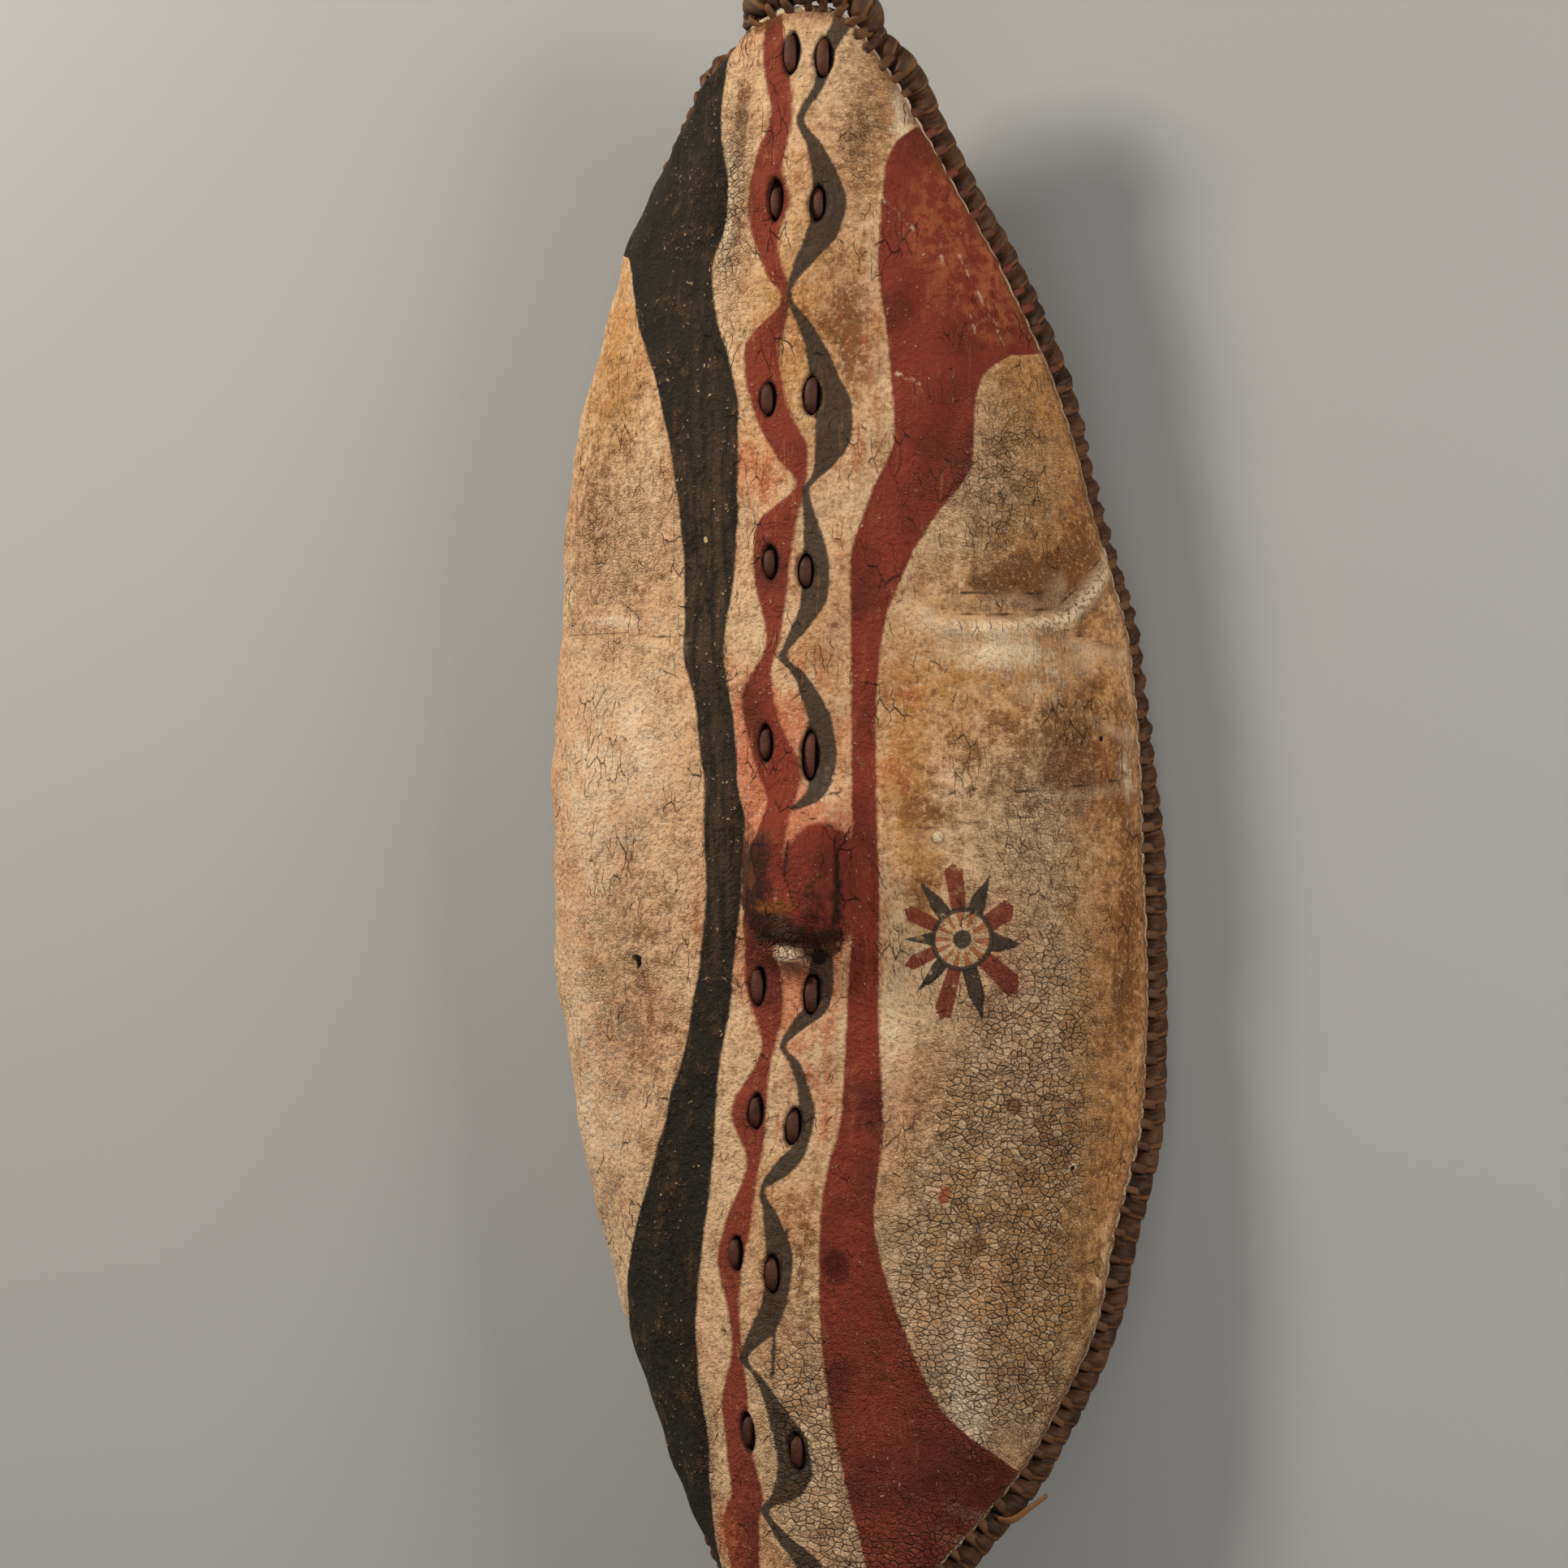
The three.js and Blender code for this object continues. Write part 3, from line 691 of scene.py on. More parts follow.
class Finish:
    """A material in the making: a tree, its coordinates and ways to combine steps."""

    def __init__(self, name: str) -> None:
        """Starts an empty material.

        Args:
            name: the material's name.
        """
        self.material = bpy.data.materials.new(name)
        self.material.use_nodes = True
        self.tree = self.material.node_tree
        self.tree.nodes.clear()
        self.solid = self.add(Step.SCALED, self.add(Step.OWN_PLACE), (1 / MM, 1 / MM, 1 / MM))

    def add(self, step: Step, *values: object, **settings: object) -> Socket | None:
        """Adds one node with its settings, values and links.

        Args:
            step: the kind of node, with its inputs and its output.
            values: numbers, colours, places or sockets for the step's inputs, in order.
            settings: further attributes of the node.

        Returns:
            The step's output, or None after the last step.
        """
        kind, inputs, output, standing = step.value
        made = self.tree.nodes.new("ShaderNode" + kind)
        for key, value in (standing | settings).items():
            setattr(made, key, value)
        for key, value in zip(inputs, values):
            if isinstance(value, bpy.types.NodeSocket):
                self.tree.links.new(value, made.inputs[key])
            else:
                made.inputs[key].default_value = value
        return made.outputs[output] if made.outputs else None

    def sum(self, *terms: tuple[Socket | float, float]) -> Socket:
        """Weighted sum of sockets.

        Args:
            terms: pairs of a socket and its weight.

        Returns:
            The sum.
        """
        total: Socket | float = 0.0
        for term, weight in terms:
            total = self.add(Step.MULTIPLY_ADD, term, weight, total)
        return total

    def times(self, *factors: Socket | float) -> Socket:
        """Product of sockets and numbers.

        Args:
            factors: what is multiplied.

        Returns:
            The product.
        """
        total = factors[0]
        for factor in factors[1:]:
            total = self.add(Step.MULTIPLY, total, factor)
        return total

    def coats(self, base: Hex | Socket, *coats: tuple) -> Socket:
        """Lays colours over each other.

        Args:
            base: the first colour.
            coats: the colour of each coat, its strength, the pattern that it follows and,
                where it eases in, the pattern's values where it is bare and full.

        Returns:
            The resulting colour.
        """
        colour: object = linear(base) if isinstance(base, str) else base
        for over, strength, pattern, *limits in coats:
            mask = self.add(Step.EASE, pattern, *limits) if limits else pattern
            over = linear(over) if isinstance(over, str) else over
            colour = self.add(Step.MIX, self.times(mask, strength), colour, over)
        return colour

    def relief(self, *layers: tuple[Socket, float]) -> Socket:
        """Bump from height patterns and their depths in millimetres."""
        return self.add(Step.BUMP, self.sum(*layers), 1.0, MM)

    def close(self, colour: Socket, rough: Socket | float, normal: Socket,
              specular: float) -> bpy.types.Material:
        """Ends the material with its surface shader.

        Args:
            colour: base colour.
            rough: roughness.
            normal: shading normal.
            specular: level of the plain reflection, 0.5 for an IOR of 1.5.

        Returns:
            The finished material.
        """
        self.add(Step.OUTPUT, self.add(Step.SURFACE, colour, rough, normal, specular))
        return self.material


@dataclass(frozen=True)
class Patterns:
    """Cloudy patterns of the rawhide, each from 0 to 1, and its flat place."""

    flat: Socket
    fibre: Socket
    streak: Socket
    cloud: Socket
    blotch: Socket
    patchy: Socket
    fleck: Socket
    grain: Socket


@dataclass(frozen=True)
class Crackle:
    """Cracks of the rawhide's paint, as masks and patterns from 0 to 1."""

    rich: Socket
    some: Socket
    plates: Socket
    chance: Socket
    small: Socket
    small_chance: Socket
    line: Socket
    plate_edge_highlight: Socket
    hair: Socket
    split: Socket


@dataclass
class PaintedRawhide:
    """Sun-dried rawhide under thin earth paint.

    It gives a dry, chalky face: cream and ochre clouds, wrinkled cracks with lifted plates,
    fibre streaks that run along the hide, and red and black bands rubbed through in places.
    """

    cream: Hex = "#d6b691"
    bone: Hex = "#ecd8bb"
    blush: Hex = "#cb9570"
    ochre: Hex = "#b47f40"
    umber: Hex = "#6e4320"
    grey: Hex = "#8d6b48"
    rouge: Hex = "#bd6242"
    red: Hex = "#7b2f20"
    red_dark: Hex = "#4e1c12"
    red_worn: Hex = "#a85f3c"
    black: Hex = "#151412"
    black_worn: Hex = "#46382b"
    strand_black: Hex = "#2f2a25"
    badge_dark: Hex = "#33302b"
    ember: Hex = "#7a451b"
    soot: Hex = "#1c100a"
    plate: tuple[float, float] = (5.4, 3.78)
    fine_plate: tuple[float, float] = (2.7, 2.16)
    long_crack: tuple[float, float] = (8.0, 26.0)
    ring: tuple[float, float] = (17.0, 21.4)
    spokes: tuple[float, float] = (7.5, 19.0)
    hub: float = 6.8
    rays: int = 12

    def __post_init__(self) -> None:
        """Starts the material with the patterns and cracks that its coats share."""
        self.f = Finish("painted_rawhide")
        self.p = self.patterns()
        self.c = self.crackle()

    def patterns(self) -> Patterns:
        """Clouds and streaks, from the size of a hand down to the pores.

        Returns:
            The patterns.
        """
        f = self.f
        flat = f.add(Step.PLACE, attribute_name="flat")
        return Patterns(
            flat=flat,
            fibre=f.add(Step.CLOUDS, f.add(Step.SCALED, flat, (1 / 1.3, 1 / 20, 0)), 1, 3, OCTAVE),
            streak=f.add(Step.CLOUDS, f.add(Step.SCALED, flat, (1 / 6, 1 / 42, 0)), 1, 4, OCTAVE),
            cloud=f.add(Step.CLOUDS, f.solid, 1 / 75, 5, OCTAVE),
            blotch=f.add(Step.CLOUDS, f.solid, 1 / 24, 6, 0.65),
            patchy=f.add(Step.CLOUDS, f.solid, 1 / 9, 5, 0.62),
            fleck=f.add(Step.CLOUDS, f.solid, 1 / 3.0, 3, 0.6),
            grain=f.add(Step.CLOUDS, f.solid, 1 / 1.3, 2, OCTAVE))

    def net(self, size: tuple[float, float], bend: float,
            start: float) -> tuple[Socket, Socket]:
        """Net of cracks, warped so that no two plates are alike.

        Args:
            size: width and length of the net's plates in millimetres.
            bend: how far the net is pushed about, in millimetres.
            start: shifts the net so that nets differ.

        Returns:
            The distance to the nearest crack in shares of a plate, and each plate's chance.
        """
        f, flat = self.f, self.p.flat
        for wave, push in ((16.0, bend), (4.6, bend * 0.32)):
            warp = f.add(Step.WARP, flat, 1 / wave, 2)
            flat = f.add(Step.PUSHED, warp, (push, push, 0), flat)
        place = f.add(Step.PUSHED, flat, (1 / size[0], 1 / size[1], 0), (start, start, 0))
        chance = f.add(Step.RED_PART, f.add(Step.PLATE_COLOUR, place, 1.0))
        return f.add(Step.PLATE_EDGE, place, 1.0), chance

    def crackle(self) -> Crackle:
        """Cracks, with plates that lift between them where the wear map says so.

        Returns:
            The cracks.
        """
        f, p = self.f, self.p
        worn = f.sum((f.add(Step.VALUE, attribute_name="crackle"), 0.6), (p.blotch, 0.7),
                     (p.patchy, 0.3))
        rich = f.add(Step.EASE, worn, 0.62, 1.02)
        some = f.add(Step.EASE, worn, 0.5, 0.72)
        plates, chance = self.net(self.plate, 8.0, 0.0)
        small, small_chance = self.net(self.fine_plate, 4.0, 31.0)
        long, _ = self.net(self.long_crack, 10.0, 57.0)
        open_here = f.sum((f.add(Step.CLOUDS, f.solid, 1 / 14, 3, OCTAVE), 1.0), (rich, 0.16))
        faint = f.add(Step.CLOUDS, f.solid, 1 / 5, 3, OCTAVE)
        torn = f.add(Step.CLOUDS, f.solid, 1 / 30, 3, OCTAVE)
        return Crackle(
            rich, some, plates, chance, small, small_chance,
            line=f.times(f.add(Step.EASE, plates, f.sum((p.fleck, 0.2), (0.0, 1.0)), 0.02), rich,
                         f.add(Step.EASE, open_here, 0.46, 0.6), f.add(Step.EASE, faint, 0.3, 0.5)),
            # Painted highlight along the edges of the plates, beside the cracks.
            plate_edge_highlight=f.times(f.add(Step.EASE, plates, 0.05, 0.13),
                           f.add(Step.EASE, plates, 0.3, 0.14), rich),
            hair=f.times(f.add(Step.EASE, small, 0.09, 0.01), some,
                         f.add(Step.EASE, p.patchy, 0.44, 0.6)),
            split=f.times(f.add(Step.EASE, long, 0.04, 0.005), f.add(Step.EASE, torn, 0.52, 0.62)))

    def ground(self) -> Socket:
        """The bare ground coat, in the order it aged.

        Returns:
            The ground's colour.
        """
        f, p, c = self.f, self.p, self.c
        ochre = f.sum((f.add(Step.VALUE, attribute_name="ochre"), 0.55), (p.blotch, 1.0),
                      (p.streak, 0.6), (p.patchy, 0.5))
        stain = f.sum((f.add(Step.VALUE, attribute_name="stain"), 0.5), (p.cloud, 0.9),
                      (p.patchy, 0.9), (p.fibre, 0.3))
        grey = f.sum((p.blotch, -0.9), (p.patchy, 0.9), (p.fleck, 0.5), (1.0, 0.9))
        rouge = f.sum((f.add(Step.VALUE, attribute_name="rouge"), 0.5), (p.cloud, 0.8),
                      (p.streak, 0.7), (p.patchy, 0.5))
        pale = f.sum((f.add(Step.VALUE, attribute_name="pale"), 0.55), (p.patchy, 0.8),
                     (p.fibre, 0.5), (p.blotch, -0.3), (1.0, 0.4))
        return f.coats(
            self.cream,
            (self.blush, 0.6, p.cloud, 0.4, 0.64),
            (self.ochre, 0.8, ochre, 1.0, 1.62),
            (self.grey, 0.55, grey, 1.1, 1.4),
            (self.umber, 0.85, stain, 1.12, 1.5),
            (self.rouge, 0.72, rouge, 1.08, 1.55),
            (self.bone, 0.85, pale, 1.0, 1.4),
            (self.umber, 0.32, p.fibre, 0.55, 0.75),
            (self.umber, 0.42, p.fleck, 0.52, 0.7),
            (self.bone, 0.35, p.fleck, 0.46, 0.3),
            # Each plate is made darker or paler at random: partly the paint's own tone, partly
            # painted light and shade for plates that tilt.
            (self.umber, f.times(c.rich, 0.34), c.chance, 0.5, 1.0),
            (self.bone, f.times(c.rich, 0.26), c.chance, 0.5, 0.0),
            (self.umber, f.times(c.some, 0.25), c.small_chance, 0.6, 1.0),
            # Painted highlight along the plate edges.
            (self.bone, 0.3, c.plate_edge_highlight))

    def bands(self) -> dict[str, Socket]:
        """Masks of the painted bands, each with a hand-laid, wavering edge.

        Returns:
            A mask by the name of each band.
        """
        f, p = self.f, self.p
        seven = f.add(Step.CLOUDS, f.solid, 1 / 7, 3, OCTAVE)
        waver = f.sum((seven, 1.9), (p.fleck, 1.6), (-1.75, 1.0))
        masks = {}
        for name, share, soft in (("red_band", 1.0, 1.4), ("black_band", 1.0, 1.4),
                                  ("red_strand", 1.0, 1.8), ("black_strand", 0.8, 1.2)):
            inside = f.sum((f.add(Step.VALUE, attribute_name=name), 1.0), (waver, share))
            masks[name] = f.add(Step.EASE, inside, -soft, soft)
        return masks

    def picture(self, ground: Socket, bands: dict[str, Socket]) -> Socket:
        """Red and black paint over the ground, rubbed thin and chipped.

        Args:
            ground: colour of the ground coat.
            bands: masks of the bands.

        Returns:
            The colour with the bands on it.
        """
        f, p, c = self.f, self.p, self.c
        rub = f.sum((p.streak, 0.5), (p.patchy, 0.4), (p.fibre, 0.4), (p.blotch, 0.3))
        thin = f.add(Step.EASE, rub, 0.84, 1.06)
        chips = f.times(f.add(Step.EASE, p.fleck, 0.64, 0.7), f.add(Step.EASE, p.blotch, 0.46, 0.6))
        worn = f.add(Step.EASE, f.add(Step.VALUE, attribute_name="worn_red"), 0.3, 1.0)
        dust = f.add(Step.EASE, f.add(Step.VALUE, attribute_name="dust"), 0.1, 1.0)
        brown = f.add(Step.EASE, f.sum((p.blotch, 0.6), (p.patchy, 0.4)), 0.5, 0.66)
        red_tone = f.coats(
            self.red,
            (self.red_dark, 0.75, p.cloud, 0.48, 0.64),
            (self.red_worn, 0.55, thin),
            (self.red_worn, f.times(worn, 0.75), p.patchy, 0.42, 0.6),
            (self.red_dark, 0.5, p.fleck, 0.56, 0.7),
            # Plates darker at random: partly the paint's own tone, partly painted shade for plates
            # that tilt.
            (self.red_dark, f.times(c.rich, 0.4), c.chance, 0.6, 1.0),
            # Painted highlight along the plate edges.
            (self.red_worn, 0.3, c.plate_edge_highlight),
            (self.cream, 0.6, chips))
        black_tone = f.coats(
            self.black,
            (self.black_worn, 0.6, brown),
            (self.black_worn, f.times(dust, 0.7), p.streak, 0.36, 0.6),
            (self.cream, 0.75, chips))
        return f.coats(
            ground,
            (red_tone, f.sum((thin, -0.3), (1.0, 0.97)), bands["red_strand"]),
            (red_tone, f.sum((thin, -0.1), (1.0, 0.99)), bands["red_band"]),
            (black_tone, f.sum((thin, -0.12), (1.0, 0.99)), bands["black_band"]),
            (self.strand_black, f.sum((thin, -0.35), (1.0, 0.93)), bands["black_strand"]))

    def grime_and_shade(self, painted: Socket) -> Socket:
        """Soot, partly painted shade; dirt and painted shade in the cracks; painted shade in the
        creases with a painted highlight on their lips; a darker ring round each slot, a darker band
        along the sewn edge, and scratches.

        Args:
            painted: colour of the clean paint.

        Returns:
            The colour with the dirt, the painted shade and highlights, and the scratches on it.
        """
        f, p, c = self.f, self.p, self.c
        near = {name: f.add(Step.VALUE, attribute_name=name)
                for name in ("edge_gap", "slot_gap", "crease_gap", "scratch_gap", "ember", "soot",
                             "crease", "lip")}
        ember = f.sum((near["ember"], 0.7), (p.patchy, 1.6))
        soot = f.sum((near["soot"], 0.9), (p.patchy, 1.6), (p.fleck, 0.5))
        rim = f.sum((near["edge_gap"], 1.0), (p.blotch, -16.0))
        chalk = f.times(f.add(Step.EASE, near["edge_gap"], 4.6, 1.2),
                        f.add(Step.EASE, p.patchy, 0.36, 0.5))
        round_slot = f.sum((near["slot_gap"], 1.0), (p.fleck, -2.6))
        crease = f.times(f.add(Step.EASE, near["crease_gap"], 1.5, 0.2),
                         f.add(Step.EASE, near["crease"], 0.25, 0.8))
        scratch = f.add(Step.EASE, f.sum((near["scratch_gap"], 1.0), (p.fleck, 2.0)), 2.9, 1.4)
        return f.coats(
            painted,
            (self.umber, 0.7, rim, 6.0, -5.0),
            (self.bone, 0.85, chalk),
            # Soot patches, partly painted shade round the knuckle and along the deep crease.
            (self.soot, 0.9, soot, 1.36, 2.1),
            (self.ember, 0.85, ember, 1.12, 1.6),
            # Painted highlight on the raised lip beside each crease.
            (self.bone, f.times(near["lip"], 0.7), p.fleck, 0.4, 0.52),
            # Painted shade in the creases.
            (self.soot, 0.85, crease),
            (self.soot, 0.75, round_slot, 1.6, -1.4),
            # Cracks darkened: dirt in them and painted shade.
            (self.soot, 0.86, c.line),
            (self.umber, 0.6, c.hair),
            (self.soot, 0.75, c.split),
            (self.bone, f.times(scratch, 0.6), p.patchy, 0.38, 0.6))

    def spots(self, under: Socket) -> Socket:
        """Lays the small holes, plugs and drops of paint over the face.

        Args:
            under: the colour under them.

        Returns:
            The colour with the spots on it.
        """
        f, p = self.f, self.p
        for spot in SPOTS:
            away = f.add(Step.AWAY_FROM, p.flat, (spot.across, spot.station, 0))
            sized = f.add(Step.SCALED, away, (1 / spot.half_wide, 1 / spot.half_long, 0))
            reach = f.sum((f.add(Step.LENGTH, sized), 1.0), (p.fleck, 0.8))
            under = f.coats(under, (spot.colour, spot.cover, reach, 1.6, 1.2))
        return under

    def badge(self, under: Socket) -> Socket:
        """Paints the rayed flower: hub, spoked ring, six blunt and six pointed rays.

        Args:
            under: the colour under it.

        Returns:
            The colour with the flower on it.
        """
        f, p = self.f, self.p
        centre = f.add(Step.AWAY_FROM, p.flat, (BADGE[1], BADGE[0], 0))
        radius = f.add(Step.LENGTH, centre)
        angle = f.add(Step.ARCTAN2, f.add(Step.ALONG, centre), f.add(Step.ACROSS, centre))

        # Rays are counted round the ring, a little closer together on one side.
        swing = f.add(Step.COSINE, f.sum((angle, 1.0), (-1.73, 1.0)))
        turn = f.sum((angle, self.rays / (2 * math.pi)), (swing, -0.38), (21.58, 1.0))
        off = f.add(Step.ABSOLUTE, f.sum((f.add(Step.FRACT, turn), 1.0), (-0.5, 1.0)))
        odd = f.add(Step.EASE, f.add(Step.MODULO, turn, 2.0), 0.97, 1.03)
        beside = f.times(off, radius, 2 * math.pi / self.rays)
        longer = f.sum((f.add(Step.COSINE, f.sum((angle, 1.0), (1.3, 1.0))), 3.0),
                       (f.add(Step.COSINE, f.sum((angle, 2.0), (2.6, 1.0))), 7.0))

        # Each ray ends where its length is used up, and is limited in width on the way.
        six = f.add(Step.CLOUDS, f.solid, 1 / 6, 3, OCTAVE)
        ragged = f.sum((six, 7.0), (p.fleck, 3.0), (-5.0, 1.0))
        left = f.sum((longer, 1.0), (ragged, 0.8), (radius, -1.0))
        blunt = f.add(Step.MINIMUM, f.sum((left, 1.5), (46 * 1.5, 1.0)),
                      f.sum((radius, 0.055), (3.8, 1.0)))
        pointed = f.add(Step.MINIMUM, f.sum((left, 0.3), (45 * 0.3, 1.0)), 5.2)
        limit = f.sum((beside, -1.0), (p.fleck, 1.0), (-0.5, 1.0))
        outside = f.add(Step.EASE, radius, 18.5, 20.0)
        red_rays = f.times(f.add(Step.EASE, f.sum((blunt, 1.0), (limit, 1.0)), -0.5, 0.6),
                           outside, f.sum((odd, -1.0), (1.0, 1.0)))
        dark_rays = f.times(f.add(Step.EASE, f.sum((pointed, 1.0), (limit, 1.0)), -0.5, 0.6),
                            outside, odd)
        spokes = f.times(f.add(Step.EASE, off, 0.27, 0.17),
                         f.add(Step.EASE, radius, self.spokes[0], self.spokes[0] + 1.5),
                         f.add(Step.EASE, radius, self.spokes[1], self.spokes[1] - 1.5))
        ring = f.times(f.add(Step.EASE, radius, self.ring[0], self.ring[0] + 1.2),
                       f.add(Step.EASE, radius, self.ring[1], self.ring[1] - 1.2))
        rubbed = f.sum((f.add(Step.CLOUDS, f.solid, 1 / 7, 4, OCTAVE), 1.0), (p.fleck, 0.45))
        fade = f.add(Step.EASE, rubbed, 1.06, 0.8)
        return f.coats(
            under,
            (self.red_worn, f.times(fade, 0.85), spokes),
            (self.red, f.times(fade, 0.92), red_rays),
            (self.badge_dark, f.times(fade, 0.95), dark_rays),
            (self.badge_dark, f.times(fade, 0.9), ring),
            (self.badge_dark, 0.92, radius, self.hub, self.hub - 1.4))

    def dress(self) -> bpy.types.Material:
        """Builds the material.

        Returns:
            The finish of the painted face.
        """
        f, p, c = self.f, self.p, self.c
        bands = self.bands()
        painted = self.picture(self.ground(), bands)
        colour = self.spots(self.grime_and_shade(self.badge(painted)))
        rough = f.sum((p.blotch, 0.25), (bands["red_band"], -0.08), (bands["black_band"], -0.06),
                      (0.64, 1.0))
        plate_height = f.times(f.add(Step.EASE, c.plates, 0.0, 0.19), c.rich,
                               f.sum((c.chance, 0.9), (1.0, 0.6)))
        small_height = f.times(f.add(Step.EASE, c.small, 0.0, 0.22), c.some)
        normal = f.relief(
            (p.blotch, 4.5), (p.patchy, 3.4), (p.fleck, 1.7), (p.fibre, 0.5), (p.grain, 0.4),
            (plate_height, 1.9), (small_height, 0.7), (c.split, -1.4))
        return f.close(colour, rough, normal, 0.2)


@dataclass(frozen=True)
class FleshSide:
    """Bare flesh side of rawhide, scraped with a blade.

    It gives a horny, translucent-looking tan with scraping streaks.
    """

    tan: Hex = "#a98558"
    light: Hex = "#c9aa7c"
    dark: Hex = "#6a4a2c"

    def dress(self) -> bpy.types.Material:
        """Builds the material.

        Returns:
            The finish of the hide's back.
        """
        f = Finish("flesh_side_rawhide")
        along = f.add(Step.SCALED, f.add(Step.PLACE, attribute_name="flat"), (1 / 3, 1 / 60, 0))
        scrape = f.add(Step.CLOUDS, along, 1, 4, OCTAVE)
        cloud = f.add(Step.CLOUDS, f.solid, 1 / 80, 5, OCTAVE)
        blotch = f.add(Step.CLOUDS, f.solid, 1 / 18, 5, OCTAVE)
        grain = f.add(Step.CLOUDS, f.solid, 1 / 1.2, 2, OCTAVE)
        rim = f.add(Step.EASE, f.add(Step.VALUE, attribute_name="edge_gap"), 22.0, 0.0)
        colour = f.coats(
            self.tan,
            (self.light, 0.7, cloud, 0.45, 0.65),
            (self.dark, 0.7, blotch, 0.5, 0.72),
            (self.dark, 0.4, scrape, 0.55, 0.72),
            (self.dark, 0.5, rim))
        rough = f.sum((blotch, 0.25), (0.5, 1.0))
        normal = f.relief((blotch, 0.8), (scrape, 0.35), (grain, 0.12))
        return f.close(colour, rough, normal, 0.4)


@dataclass(frozen=True)
class WoundLeather:
    """Wet-wound leather strip, dried hard and greased by hands.

    The eye gets dark brown turns with creases along the strip, black seams, and tan lips
    where each turn's edge is rubbed, with a painted highlight on that raised edge.
    """

    brown: Hex = "#482c16"
    deep: Hex = "#1c1008"
    tan: Hex = "#80542a"
    dust: Hex = "#64472a"

    def dress(self) -> bpy.types.Material:
        """Builds the material.

        Returns:
            The finish of the wound roll.
        """
        f = Finish("wound_leather_strip")
        along = f.add(Step.SCALED, f.add(Step.PLACE, attribute_name="wound"), (1 / 1.6, 1 / 14, 0))
        creases = f.add(Step.CLOUDS, along, 1, 4, OCTAVE)
        blotch = f.add(Step.CLOUDS, f.solid, 1 / 16, 5, OCTAVE)
        grain = f.add(Step.CLOUDS, f.solid, 1 / 0.8, 2, OCTAVE)
        lip, shade, seam = (f.add(Step.VALUE, attribute_name=name)
                            for name in ("lip", "shade", "seam"))
        # The tan on each turn's raised lip is rubbed wear and a painted highlight.
        rubbed = f.add(Step.EASE, f.sum((lip, 0.75), (creases, 0.7), (blotch, 0.5)), 0.86, 1.15)
        colour = f.coats(
            self.brown,
            (self.deep, 0.6, shade, 0.3, 1.0),
            (self.dust, 0.6, blotch, 0.5, 0.7),
            (self.deep, 0.6, blotch, 0.5, 0.32),
            (self.tan, 0.6, creases, 0.55, 0.75),
            (self.deep, 0.5, creases, 0.45, 0.3),
            (self.tan, 0.65, rubbed),
            (self.deep, 0.9, seam, 0.45, 0.95))
        rough = f.sum((blotch, 0.3), (rubbed, -0.08), (0.42, 1.0))
        normal = f.relief((blotch, 1.6), (creases, 0.9), (grain, 0.25))
        return f.close(colour, rough, normal, 0.3)


class Tint(Enum):
    """Base, dark and light tones that thong leather took up from paint, hands and sun."""

    LACE = ("#371c12", "#160b07", "#6a4028")
    SEWING = ("#4a2c16", "#1d1008", "#835a32")


@dataclass(frozen=True)
class ThongLeather:
    """Narrow thong cut from hide: a soft sheen, with painted shade where it goes down into the slots,
    under the hide and into the roll.
    """

    name: str
    tint: Tint
    painted: Hex = "#6e2a1c"

    def dress(self) -> bpy.types.Material:
        """Builds the material.

        Returns:
            The finish of the thongs.
        """
        f = Finish(self.name)
        base, dark, light = self.tint.value
        grain = f.add(Step.CLOUDS, f.solid, 1 / 1.4, 4, OCTAVE)
        blotch = f.add(Step.CLOUDS, f.solid, 1 / 9, 4, OCTAVE)
        painted, shade, deep = (f.add(Step.VALUE, attribute_name=name)
                                for name in ("painted", "shade", "deep"))
        colour = f.coats(
            base,
            (self.painted, 0.9, painted),
            (dark, 0.75, blotch, 0.42, 0.7),
            (light, 0.5, grain, 0.55, 0.75),
            (light, 0.6, shade),
            # Painted shade where the thong goes under the hide and into the roll.
            (dark, 0.9, deep))
        rough = f.sum((grain, 0.3), (0.45, 1.0))
        normal = f.relief((blotch, 1.0), (grain, 0.5))
        return f.close(colour, rough, normal, 0.3)


@dataclass(frozen=True)
class WhittledWood:
    """Hand-whittled stave of a pale hardwood, darkened by grip and smoke."""

    pale: Hex = "#8f6c45"
    dark: Hex = "#4b3320"

    def dress(self) -> bpy.types.Material:
        """Builds the material.

        Returns:
            The finish of the stave.
        """
        f = Finish("whittled_hardwood")
        along = f.add(Step.SCALED, f.solid, (1 / 1.6, 1 / 70, 1 / 1.6))
        grain = f.add(Step.CLOUDS, along, 1, 4, OCTAVE)
        cuts = f.add(Step.CLOUDS, f.solid, 1 / 12, 3, OCTAVE)
        colour = f.coats(
            self.pale,
            (self.dark, 0.8, grain, 0.45, 0.65),
            (self.dark, 0.5, cuts, 0.45, 0.7))
        rough = f.sum((grain, 0.25), (0.5, 1.0))
        normal = f.relief((cuts, 0.6), (grain, 0.3))
        return f.close(colour, rough, normal, 0.35)


@dataclass(frozen=True)
class BackdropPaper:
    """Matt grey-white studio paper."""

    grey: Hex = "#9fa3a7"
    cloudy: Hex = "#a3a3a4"

    def dress(self) -> bpy.types.Material:
        """Builds the material.

        Returns:
            The finish of the floor.
        """
        f = Finish("backdrop_paper")
        tooth = f.add(Step.CLOUDS, f.solid, 1 / 3, 3, OCTAVE)
        cloud = f.add(Step.CLOUDS, f.solid, 1 / 900, 2, OCTAVE)
        colour = f.coats(self.grey, (self.cloudy, 0.12, cloud))
        return f.close(colour, 0.9, f.relief((tooth, 0.05)), 0.2)


# ------------------------------------------------------------------ hide

